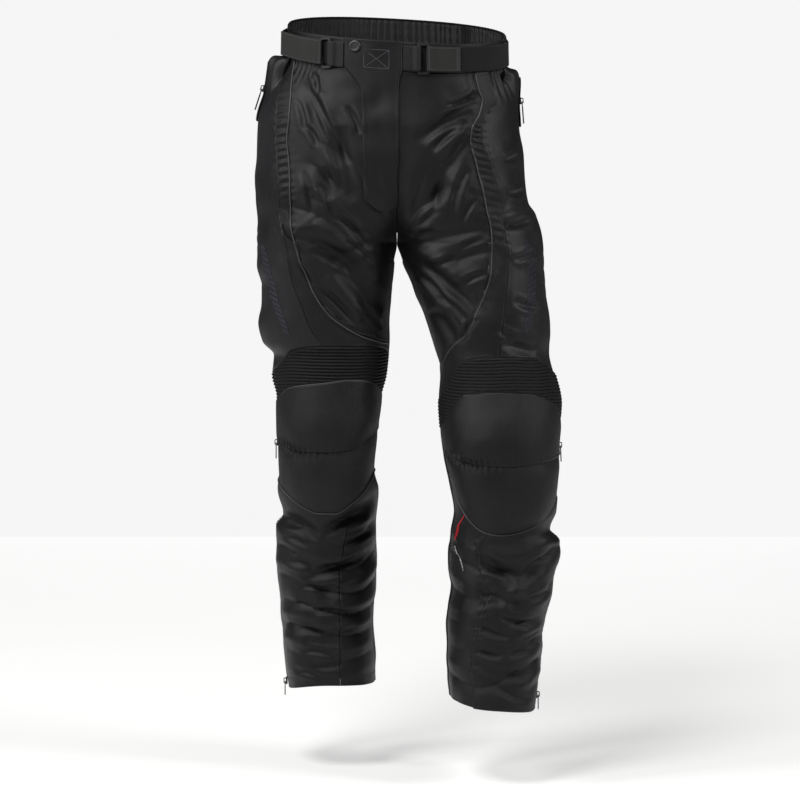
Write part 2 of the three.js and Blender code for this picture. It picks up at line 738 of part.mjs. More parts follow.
function prepareLeg(leg) {
  for (const column of ['outer', 'inner', 'front', 'back']) {
    leg[column] = tableCurve(leg.sections, 'z', column);
  }
  const pipingX = tableCurve(leg.piping, 'z', 'x');
  const seamX = tableCurve(leg.sideSeam, 'z', 'x');
  const calfX = tableCurve(leg.calfSeam, 'z', 'x');
  const lastPiping = leg.piping.at(-1).z;
  const lastSeam = leg.sideSeam.at(-1);
  const seamEnd = frontShare(leg, lastSeam.z, lastSeam.x);
  leg.pipingLine = (z) => {
    if (z >= lastPiping) return frontShare(leg, z, pipingX(z));
    const end = frontShare(leg, lastPiping, pipingX(lastPiping));
    return end * clamp((z - leg.pipingEnd) / (lastPiping - leg.pipingEnd), 0, 1);
  };
  leg.seamLine = (z) => (z >= lastSeam.z ? frontShare(leg, z, seamX(z)) : seamEnd);
  leg.calfLine = (z) => frontShare(leg, z, calfX(z));
  for (const edge of ['ribTop', 'patchTop', 'patchMiddle', 'patchBottom', 'hem']) {
    leg[`${edge}Line`] = tableCurve(leg[edge], 'at', 'z');
  }
  leg.heights = [...UPPER_HEIGHTS, ...leg.lowerHeights];
}

// The cut pieces of one leg

const THIGH_COLUMNS = 9;
const STRIP_COLUMNS = 6;
const SIDE_COLUMNS = 7;
const BACK_COLUMNS = 7;
const CALF_ROWS = 14;
const SEAT_SEAM = -290;
const KNEE_SEAM = -590;

function thighPieces(leg) {
  const pieceTop = () => BAND_BOTTOM - SEAM_GAP / 2;
  const tipHeight = () => leg.piping.at(-1).z + 1 - EDGE_GAP / 2;
  addPiece(`${leg.name}_front_thigh`, cutPieceWall(leg, {
    left: none,
    right: leg.pipingLine,
    top: pieceTop,
    bottom: tipHeight,
    heights: leg.heights.filter((z) => z >= tipHeight()),
    columns: evenly(THIGH_COLUMNS),
  }), 'cloth');
  const strip = {
    left: leg.pipingLine,
    right: leg.seamLine,
    top: pieceTop,
    bottom: leg.ribTopLine,
    heights: leg.heights,
    columns: evenly(STRIP_COLUMNS),
  };
  addPiece(`${leg.name}_side_front`, cutPieceWall(leg, strip), 'cloth');
  const gathers = (at, z) => {
    const share = (at - 0.36) / 0.17;
    return 1.6 * Math.cos(2 * Math.PI * 4 * share) * smooth(z, -70, -24);
  };
  const side = {
    left: leg.seamLine,
    right: () => SIDE_SEAM,
    top: pieceTop,
    bottom: leg.ribTopLine,
    heights: leg.heights,
    columns: evenly(SIDE_COLUMNS),
    raised: gathers,
  };
  addPiece(`${leg.name}_side_outer`, cutPieceWall(leg, side), 'sheenCloth');
  const lowest = Math.min(...leg.heights);
  const backHeights = [...leg.heights, ...CALF_HEIGHTS.filter((z) => z < lowest - 5)];
  const backPieces = [
    { name: 'seat', top: pieceTop, bottom: () => SEAT_SEAM, from: 0, to: SEAT_SEAM },
    { name: 'back_thigh', top: () => SEAT_SEAM, bottom: () => KNEE_SEAM, from: SEAT_SEAM, to: KNEE_SEAM },
    { name: 'back_calf', top: () => KNEE_SEAM, bottom: leg.hemLine, from: KNEE_SEAM, to: -LEG_LENGTH - 60 },
  ];
  for (const piece of backPieces) {
    addPiece(`${leg.name}_${piece.name}`, cutPieceWall(leg, {
      left: () => SIDE_SEAM,
      right: () => 1,
      top: piece.top,
      bottom: piece.bottom,
      heights: backHeights.filter((z) => z <= piece.from && z >= piece.to),
      columns: evenly(BACK_COLUMNS),
    }), 'cloth');
  }
  const steps = Array.from({ length: 480 }, (unused, i) => BAND_BOTTOM - 6 - i);
  const cells = steps
    .filter((z) => z > leg.pipingEnd + 2)
    .map((z) => ({ at: Math.max(0.012, leg.pipingLine(z)), z }));
  addPiece(`${leg.name}_thigh_piping`, pipingBody(leg, cells), 'piping');
  const lowerEdge = (piece) => cutPieceCells(leg, piece).at(-1).map((cell) => cell.at);
  return [0, ...lowerEdge(strip).slice(1), ...lowerEdge(side).slice(1, -1), SIDE_SEAM];
}

// Keeps only the cells of a fine path that lie a step apart, and its last one.

function everyStep(leg, cells) {
  const kept = [cells[0]];
  const place = ({ at, z }) => clothPoint(leg, at, z);
  for (const cell of cells) {
    if (place(cell).distanceTo(place(kept.at(-1))) >= PIPING_STEP) kept.push(cell);
  }
  return kept;
}

// Ribs lie across the leg at an even pitch and run out at the edges of their panel.

function ribPanel(leg, columns) {
  const highest = Math.max(...columns.map((at) => leg.ribTopLine(at)));
  const lowest = Math.min(...columns.map((at) => leg.patchTopLine(at)));
  const count = Math.ceil((highest - lowest) / RIB_PITCH);
  const heights = Array.from({ length: 2 * count + 1 }, (unused, i) => highest - (i * RIB_PITCH) / 2);
  const ribs = (at, z) => {
    const phase = ((highest - z) / RIB_PITCH) * 2 * Math.PI;
    const edge = Math.min(leg.ribTopLine(at) - z, z - leg.patchTopLine(at), 2 * RIB_PITCH);
    return 0.5 * RIB_HEIGHT * (1 - Math.cos(phase)) * smooth(edge, 1.8, 4);
  };
  const panel = {
    left: none,
    right: () => SIDE_SEAM,
    top: leg.ribTopLine,
    bottom: leg.patchTopLine,
    columns: columns.map((at) => at / SIDE_SEAM),
  };
  const ribbed = { ...panel, heights, raised: ribs };
  const plain = { ...panel, shares: evenly(4) };
  addPiece(`${leg.name}_knee_ribs`, cutPieceWall(leg, ribbed, plain), 'rib');
}

function kneePatch(leg, columns) {
  const patchColumns = columns.filter((at) => at < ZIP_FRONT_EDGE - 0.01);
  const shares = [...patchColumns.map((at) => at / ZIP_FRONT_EDGE), 1];
  const halves = [
    { name: 'upper', top: leg.patchTopLine, bottom: leg.patchMiddleLine, rows: 4 },
    { name: 'lower', top: leg.patchMiddleLine, bottom: leg.patchBottomLine, rows: 5 },
  ];
  for (const half of halves) {
    const crown = (at, z) => {
      const share = (half.top(at) - z) / (half.top(at) - half.bottom(at));
      const acrossShare = at / ZIP_FRONT_EDGE;
      const rise = 1 - Math.abs(2 * clamp(share, 0, 1) - 1) ** 2.5;
      const spread = 1 - Math.abs(2 * clamp(acrossShare, 0, 1) - 1) ** 3;
      return PATCH_CROWN * rise * spread;
    };
    addPiece(`${leg.name}_knee_patch_${half.name}`, cutPieceWall(leg, {
      left: none,
      right: () => ZIP_FRONT_EDGE,
      top: half.top,
      bottom: half.bottom,
      shares: evenly(half.rows),
      columns: shares,
      lift: crown,
    }), 'cloth');
  }
  const beads = { top: leg.patchTopLine, bottom: leg.patchBottomLine };
  for (const [edge, line] of Object.entries(beads)) {
    const cells = evenly(200).map((share) => {
      const at = lerp(0.015, ZIP_FRONT_EDGE - 0.015, share);
      return { at, z: line(at) };
    });
    addPiece(`${leg.name}_knee_piping_${edge}`, pipingBody(leg, cells), 'piping');
  }
}

function lowerLeg(leg, columns) {
  const hem = leg.hemLine;
  const seamAt = (at) => leg.calfLine(leg.patchBottomLine(at));
  const margin = 0.012;
  const onCalf = columns.filter((at) => at > margin && at < seamAt(at) - margin);
  const onShin = columns.filter((at) => at > seamAt(at) + margin && at < ZIP_FRONT_EDGE - margin);
  const shinShare = (at) => (at - seamAt(at)) / (ZIP_FRONT_EDGE - seamAt(at));
  addPiece(`${leg.name}_shin`, cutPieceWall(leg, {
    left: leg.calfLine,
    right: () => ZIP_FRONT_EDGE,
    top: leg.patchBottomLine,
    bottom: hem,
    shares: evenly(CALF_ROWS),
    columns: [0, ...onShin.map(shinShare), 1],
  }), 'cloth');
  addPiece(`${leg.name}_calf_inner`, cutPieceWall(leg, {
    left: none,
    right: leg.calfLine,
    top: leg.patchBottomLine,
    bottom: hem,
    shares: evenly(CALF_ROWS),
    columns: [0, ...onCalf.map((at) => at / seamAt(at)), 1],
  }), 'cloth');
  addPiece(`${leg.name}_leg_zip`, cutPieceWall(leg, {
    left: () => ZIP_FRONT_EDGE,
    right: () => SIDE_SEAM,
    top: leg.patchTopLine,
    bottom: hem,
    heights: CALF_HEIGHTS,
    columns: evenly(2),
    raised: (at) => 1.2 * bump((at - (ZIP_FRONT_EDGE + SIDE_SEAM) / 2) / 0.006),
  }), 'webbing');
}

// The waistband: two plain fronts and a gathered elastic back, which crosses the middle.

const BAND_SPLIT = 0.42;
const BAND_ROWS = [BAND_TOP, 8, -7, BAND_BOTTOM + SEAM_GAP / 2];
const BACK_WAVES = 9;

function bandColumn(leg, at, out) {
  return BAND_ROWS.map((z) => {
    const point = surfacePoint(leg, at, z);
    const normal = surfaceNormal(leg, at, z);
    point.z += bandTilt(point, z);
    return point.addScaledVector(normal, out);
  });
}

function bandWall(stations) {
  const byRow = (columns) => BAND_ROWS.map((unused, row) => columns.map((column) => column[row]));
  const outer = stations.map(({ leg, at, out }) => bandColumn(leg, at, out));
  const inner = stations.map(({ leg, at, out }) => bandColumn(leg, at, out - BAND_CLOTH));
  return wallBody(byRow(outer), byRow(inner));
}

function waistband() {
  const edge = SEAM_GAP / 1000;
  for (const leg of [RIGHT, LEFT]) {
    const stations = evenly(12).map((share) => ({ leg, at: lerp(0.0012, BAND_SPLIT - edge, share), out: 0 }));
    addPiece(`waistband_front_${leg.name}`, bandWall(stations), 'cloth');
  }
  const wave = (at) => {
    const phase = ((at - 0.62) / 0.38) * BACK_WAVES;
    return at < 0.62 ? 0 : 1.1 * (Math.cos(Math.PI * 2 * phase) - 1);
  };
  const plain = [BAND_SPLIT + edge, 0.47, 0.52, 0.57];
  const gathered = evenly(2 * BACK_WAVES).map((share) => lerp(0.62, 1, share));
  const half = [...plain, ...gathered];
  const rightSide = half.map((at) => ({ leg: RIGHT, at, out: wave(at) }));
  const leftSide = half.slice(0, -1).reverse().map((at) => ({ leg: LEFT, at, out: wave(at) }));
  addPiece('waistband_back', bandWall([...rightSide, ...leftSide]), 'cloth');
}

// The closing tab runs down into the fly flap in one piece, over the middle front.

const FLAP_EDGES = [
  { z: 23, left: -79, right: 8 },
  { z: -20, left: -79, right: 8 },
  { z: -34, left: -68, right: 4 },
  { z: -48, left: -58, right: 3 },
  { z: -64, left: -53, right: 3 },
  { z: -260, left: -50, right: 1 },
];
const FLAP_HEM = [
  { across: 0, z: -240 },
  { across: 0.55, z: -258 },
  { across: 1, z: -249 },
];
const FLAP_LIFT = 1.3;
const FLAP_CLOTH = 2.4;
const FLAP_COLUMNS = 5;

function frontPoint(x, z, out) {
  const leg = x < 0 ? RIGHT : LEFT;
  const at = frontShare(leg, z, Math.abs(x));
  const point = surfacePoint(leg, at, z);
  const normal = surfaceNormal(leg, at, z);
  point.z += bandTilt(point, z);
  const relief = z > BAND_BOTTOM ? 0 : foldHeight(leg, point, normal);
  return point.addScaledVector(normal, relief + out);
}

function flyFlap() {
  const leftEdge = tableCurve(FLAP_EDGES, 'z', 'left');
  const rightEdge = tableCurve(FLAP_EDGES, 'z', 'right');
  const hem = tableCurve(FLAP_HEM, 'across', 'z');
  const upper = UPPER_HEIGHTS.filter((z) => z < -70 && z > -240);
  const heights = [23, 8, -8, -20, -28, -34, -42, -50, -64, ...upper, -232];
  const rows = [...heights.map((z) => () => z), hem];
  const grid = (out) => rows.map((row) => evenly(FLAP_COLUMNS).map((across) => {
    const z = row(across);
    return frontPoint(lerp(leftEdge(z), rightEdge(z), across), z, out);
  }));
  addPiece('fly_flap', wallBody(grid(FLAP_LIFT + FLAP_CLOTH), grid(FLAP_LIFT)), 'cloth');
}

// A turned stud cap on the closing tab

function frameAt(point, outward, up) {
  const across = outward.clone().cross(up).normalize();
  const upright = across.clone().cross(outward).normalize();
  const matrix = new THREE.Matrix4().makeBasis(across, outward, upright);
  return { point, quaternion: new THREE.Quaternion().setFromRotationMatrix(matrix) };
}

function placeMesh(mesh, frame) {
  mesh.position.copy(frame.point);
  mesh.quaternion.copy(frame.quaternion);
}

function snapStud() {
  const profile = [[0, 0], [SNAP_RADIUS, 0], [SNAP_RADIUS, 1], [SNAP_RADIUS - 1.4, 2.4], [0, 2.8]];
  const cap = new THREE.LatheGeometry(profile.map(([x, y]) => new THREE.Vector2(x, y)), 20);
  const stud = addPiece('snap', cap, 'metal');
  const place = { x: -63, z: 11 };
  const point = frontPoint(place.x, place.z, FLAP_LIFT + FLAP_CLOTH + SEAM_GAP + 0.2);
  const outward = surfaceNormal(RIGHT, frontShare(RIGHT, place.z, -place.x), place.z);
  placeMesh(stud, frameAt(point, outward, new THREE.Vector3(0, 0, 1)));
}

// Waist adjusters: a webbing tab and a strap hold a flat ring between them.

function bandShare(leg, x) {
  return frontShare(leg, 0, x);
}

function overBandWall(leg, stations, rows) {
  const point = (at, z, out) => {
    const place = surfacePoint(leg, at, z);
    const normal = surfaceNormal(leg, at, z);
    place.z += bandTilt(place, z);
    return place.addScaledVector(normal, out);
  };
  const grid = (outOf) => rows.map((z) => stations.map((station) => point(station.at, z, outOf(station))));
  const outer = grid((station) => station.lift + station.thickness);
  const inner = grid((station) => station.lift);
  return wallBody(outer, inner);
}

const RING_LIFT = 1;
const OVER_RING = RING_LIFT + RING_THICKNESS + 0.5;
const STRAP_LAYER = 2.2;
const STRAP_END = 0.6;

function adjuster(leg) {
  const { x, z, lean } = leg.ring;
  const half = RING_WIDTH / 2;
  const bar = half - RING_BAR;
  const rows = [z + STRAP_WIDTH / 2, z, z - STRAP_WIDTH / 2];
  const tab = [
    { x: leg.anchorInner, lift: 0.6 },
    { x: x - half - 6, lift: 0.8 },
    { x: x - half - 1.5, lift: OVER_RING },
    { x: x - bar + 1, lift: OVER_RING },
  ];
  const tabStations = tab.map((station) => ({ ...station, at: bandShare(leg, station.x), thickness: STRAP_LAYER }));
  addPiece(`${leg.name}_adjuster_anchor`, overBandWall(leg, tabStations, rows), 'webbing');

  const ringStart = bandShare(leg, x + bar - 1);
  const overEnd = bandShare(leg, x + half + 2);
  const doubled = leg === RIGHT ? 0.455 : bandShare(leg, 95);
  const shares = [0, 0.12, 0.25, 0.4, 0.55, 0.7, 0.85, 1].map((share) => lerp(overEnd + 0.012, STRAP_END, share));
  const proud = (at) => LAYER_GAP + leg.strapProud * bump((at - 0.46) / 0.05);
  const strap = [
    { at: ringStart, lift: OVER_RING, thickness: 2 * STRAP_LAYER },
    { at: overEnd, lift: OVER_RING, thickness: 2 * STRAP_LAYER },
    ...[...shares, doubled, doubled + 0.004]
      .sort((one, other) => one - other)
      .map((at) => ({ at, lift: proud(at), thickness: at <= doubled ? 2 * STRAP_LAYER : STRAP_LAYER })),
  ];
  addPiece(`${leg.name}_adjuster_strap`, overBandWall(leg, strap, rows), 'webbing');

  const outline = (width, height, corner) => {
    const points = [];
    const centres = [[1, 1], [-1, 1], [-1, -1], [1, -1]];
    centres.forEach(([sideX, sideY], quarter) => {
      for (let step = 0; step <= 3; step += 1) {
        const angle = (Math.PI / 2) * (quarter + step / 3);
        points.push(new THREE.Vector2(
          sideX * (width / 2 - corner) + corner * Math.cos(angle),
          sideY * (height / 2 - corner) + corner * Math.sin(angle),
        ));
      }
    });
    return points;
  };
  const shape = new THREE.Shape(outline(RING_WIDTH, RING_HEIGHT, 5));
  shape.holes.push(new THREE.Path(outline(RING_WIDTH - 2 * RING_BAR, RING_HEIGHT - 2 * RING_BAR, 2).reverse()));
  const ring = new THREE.ExtrudeGeometry(shape, { depth: RING_THICKNESS, bevelEnabled: false });
  ring.rotateX(Math.PI / 2);
  ring.translate(0, RING_THICKNESS, 0);
  const mesh = addPiece(`${leg.name}_adjuster_ring`, ring, 'metal');
  const at = bandShare(leg, x);
  const place = surfacePoint(leg, at, z);
  const outward = surfaceNormal(leg, at, 0);
  place.z += bandTilt(place, z);
  place.addScaledVector(outward, RING_LIFT);
  const up = new THREE.Vector3(Math.sin(THREE.MathUtils.degToRad(lean)), 0, 1).normalize();
  placeMesh(mesh, frameAt(place, outward, up));
}

// Zip sliders with an arched bridge, and pull tabs that hang on it.
// Their own frame: X along the hinge, Y out of the cloth, Z up.

const SLIDER = { width: 8, height: 11, body: 2.6, bridge: 2, bridgeTop: 6.4 };
const EYE = { axisOut: 3.9, axisUp: -1.9, length: 7.4, width: 3.2, bar: 1.4 };

function toSolid(geometry) {
  const source = geometry.index ? geometry.toNonIndexed() : geometry;
  const position = source.getAttribute('position');
  const places = new Map();
  const vertices = [];
  const corners = [];
  for (let i = 0; i < position.count; i += 1) {
    const point = [position.getX(i), position.getY(i), position.getZ(i)];
    const key = point.map((value) => Math.round(value * 1000)).join(' ');
    if (!places.has(key)) {
      places.set(key, vertices.length / 3);
      vertices.push(...point);
    }
    corners.push(places.get(key));
  }
  return new wasm.Manifold(new wasm.Mesh({
    numProp: 3,
    vertProperties: new Float32Array(vertices),
    triVerts: new Uint32Array(corners),
  }));
}

function fromSolid(solid) {
  const result = solid.getMesh();
  const geometry = new THREE.BufferGeometry();
  geometry.setAttribute('position', new THREE.Float32BufferAttribute(result.vertProperties, 3));
  geometry.setIndex(Array.from(result.triVerts));
  geometry.computeVertexNormals();
  return geometry;
}

function sliderGeometry() {
  const body = new THREE.BoxGeometry(SLIDER.width, SLIDER.body, SLIDER.height);
  body.translate(0, SLIDER.body / 2, 0);
  const reach = 4.4;
  const inner = reach - 1.4;
  const arch = new THREE.Shape([
    new THREE.Vector2(-reach, 1),
    new THREE.Vector2(reach, 1),
    new THREE.Vector2(reach, SLIDER.bridgeTop - 1.2),
    new THREE.Vector2(inner, SLIDER.bridgeTop),
    new THREE.Vector2(-inner, SLIDER.bridgeTop),
    new THREE.Vector2(-reach, SLIDER.bridgeTop - 1.2),
  ]);
  arch.holes.push(new THREE.Path([
    new THREE.Vector2(-inner, SLIDER.body),
    new THREE.Vector2(-inner, SLIDER.bridgeTop - 1.4),
    new THREE.Vector2(inner, SLIDER.bridgeTop - 1.4),
    new THREE.Vector2(inner, SLIDER.body),
  ]));
  const bridge = new THREE.ExtrudeGeometry(arch, { depth: SLIDER.bridge, bevelEnabled: false });
  bridge.translate(0, 0, -SLIDER.bridge / 2);
  bridge.rotateY(-Math.PI / 2);
  return fromSolid(toSolid(body).add(toSolid(bridge)));
}

function pullGeometry(width, length, thickness) {
  const half = width / 2;
  const neck = EYE.width / 2 + 1.2;
  const outline = new THREE.Shape([
    new THREE.Vector2(-neck, EYE.bar / 2),
    new THREE.Vector2(-neck, -EYE.length),
    new THREE.Vector2(-half, -EYE.length - 2),
    new THREE.Vector2(-half, -length + 1.5),
    new THREE.Vector2(-half + 1.5, -length),
    new THREE.Vector2(half - 1.5, -length),
    new THREE.Vector2(half, -length + 1.5),
    new THREE.Vector2(half, -EYE.length - 2),
    new THREE.Vector2(neck, -EYE.length),
    new THREE.Vector2(neck, EYE.bar / 2),
  ]);
  outline.holes.push(new THREE.Path([
    new THREE.Vector2(-EYE.width / 2, -EYE.bar / 2),
    new THREE.Vector2(-EYE.width / 2, -EYE.length + 0.4),
    new THREE.Vector2(EYE.width / 2, -EYE.length + 0.4),
    new THREE.Vector2(EYE.width / 2, -EYE.bar / 2),
  ]));
  const plate = new THREE.ExtrudeGeometry(outline, { depth: thickness, bevelEnabled: false });
  plate.translate(0, 0, -thickness / 2);
  plate.rotateX(Math.PI / 2);
  return plate;
}

function zipEnd(leg, spec) {
  const point = clothPoint(leg, spec.at, spec.z, spec.out - (leg === LEFT ? spec.closer : 0));
  const above = clothPoint(leg, spec.at, spec.z + 6);
  const below = clothPoint(leg, spec.at, spec.z - spec.length);
  const flare = leg.sign * (below.x - above.x) / (above.z - below.z);
  const outward = new THREE.Vector3(leg.sign, 0, Math.max(0, flare)).normalize();
  const frame = frameAt(point, outward, new THREE.Vector3(0, 0, 1));
  placeMesh(addPiece(`${leg.name}_${spec.name}_slider`, sliderGeometry(), 'metal'), frame);
  const pull = addPiece(`${leg.name}_${spec.name}_pull`, pullGeometry(spec.width, spec.length, EYE.bar), spec.look);
  const hinge = new THREE.Vector3(0, EYE.axisOut, EYE.axisUp).applyQuaternion(frame.quaternion).add(point);
  placeMesh(pull, { point: hinge, quaternion: frame.quaternion });
}

const ZIP_MIDDLE = (ZIP_FRONT_EDGE + SIDE_SEAM) / 2;
const ZIP_ENDS = [
  { name: 'ankle', at: ZIP_MIDDLE, z: -1001, out: 2.2, closer: 0, width: 7, length: 21, look: 'metal' },
  { name: 'knee', at: ZIP_MIDDLE, z: -618, out: 2.2, closer: 0, width: 7, length: 24, look: 'metal' },
  { name: 'pocket', at: 0.49, z: -80, out: 5.6, closer: 1.2, width: 13, length: 34, look: 'rubber' },
];

function pocketZip(leg) {
  addPiece(`${leg.name}_pocket_zip`, cutPieceWall(leg, {
    left: () => 0.48,
    right: () => 0.5,
    top: () => -45,
    bottom: () => -123,
    heights: leg.heights.filter((z) => z <= -45 && z >= -123),
    columns: evenly(1),
    lift: () => 3.2,
    thickness: () => 1.4,
  }), 'webbing');
}

for (const leg of [RIGHT, LEFT]) {
  prepareLeg(leg);
}
for (const leg of [RIGHT, LEFT]) {
  const columns = thighPieces(leg);
  ribPanel(leg, columns);
  kneePatch(leg, columns);
  lowerLeg(leg, columns);
  pocketZip(leg);
  adjuster(leg);
  ZIP_ENDS.forEach((spec) => zipEnd(leg, spec));
}
waistband();
flyFlap();
snapStud();

export default trousers;
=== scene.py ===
# %% [markdown]
# # Textile motorcycle trousers, worn and hollow
# This lesson dresses a finished frame: the solids from CAD say where each cut piece lies, and Blender
# gives every piece its cloth, its folds, its sewing and its hardware. Sizes are in millimetres, and become
# metres when they reach the mesh. Where a comment says so, they are metres from the start.

# %% Load the frame and clear the selection
import math
from types import SimpleNamespace

import bpy
import numpy as np
from mathutils import Matrix, Vector


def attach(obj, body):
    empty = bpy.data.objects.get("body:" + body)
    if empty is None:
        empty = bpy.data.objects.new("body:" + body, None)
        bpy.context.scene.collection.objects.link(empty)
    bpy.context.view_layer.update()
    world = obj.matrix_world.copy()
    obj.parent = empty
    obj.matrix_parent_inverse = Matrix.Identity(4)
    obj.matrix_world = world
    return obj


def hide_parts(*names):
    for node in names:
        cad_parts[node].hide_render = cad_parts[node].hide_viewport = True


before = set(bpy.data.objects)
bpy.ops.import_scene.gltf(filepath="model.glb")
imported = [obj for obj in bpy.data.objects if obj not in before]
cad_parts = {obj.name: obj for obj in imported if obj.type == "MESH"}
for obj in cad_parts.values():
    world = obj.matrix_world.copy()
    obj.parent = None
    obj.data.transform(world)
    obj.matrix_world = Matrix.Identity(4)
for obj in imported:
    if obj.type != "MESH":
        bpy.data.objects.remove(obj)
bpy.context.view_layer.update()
bpy.ops.object.select_all(action="DESELECT")
MM = 0.001
GARMENT = "garment"

# %% [markdown]
# ## The general figure
# A trouser leg is a tube whose section changes with height. Each row of the tables gives the section at one
# height: how far the outer and the inner side stand from the middle plane, and where front and back lie.
# Seams are tables too: a height, and how far from the middle plane the seam shows from the front. The
# knee's lines and the hem give a height for each share of the girth.
#
# A fold or crease is a face of the leg, its start and its end as a distance from the middle plane and a
# height, how far it bows, its half width, and its height over the cloth, which is below zero in a valley.
#
# A ring has its distance from the middle plane, its height and its lean. The ear is the pocket edge that
# stands off: its share of the girth, its height and how far it stands out. The hollow behind it has a
# share, a height and a depth, and then half its width as a share and half its height.

# %% Driving sizes, in millimetres
WALL = 2.0
SEAM_GAP = 0.1
EDGE_GAP = 0.3
BAND_TOP = 22.5
BAND_BOTTOM = -22.5
BAND_CLOTH = 2.6
RISE = 306
ROUNDNESS = 2.3
LEG_LENGTH = 1008
SIDE_SEAM = 0.53
ZIP_FRONT_EDGE = 0.505
ZIP_MIDDLE = (ZIP_FRONT_EDGE + SIDE_SEAM) / 2
RIB_PITCH = 5
BAND_LIFT = 3
BAND_FRONT_DROP = 26
BAND_SIDE_DROP = 9.4
WAIST_HALF_WIDTH = 168
WAIST_HALF_DEPTH = 120
LEVEL_BELOW = 200
GRID = 2.7
SEAT_SEAM = -290
KNEE_SEAM = -590
FOLD_GAIN = 1.2
CREASE_GAIN = 1.7

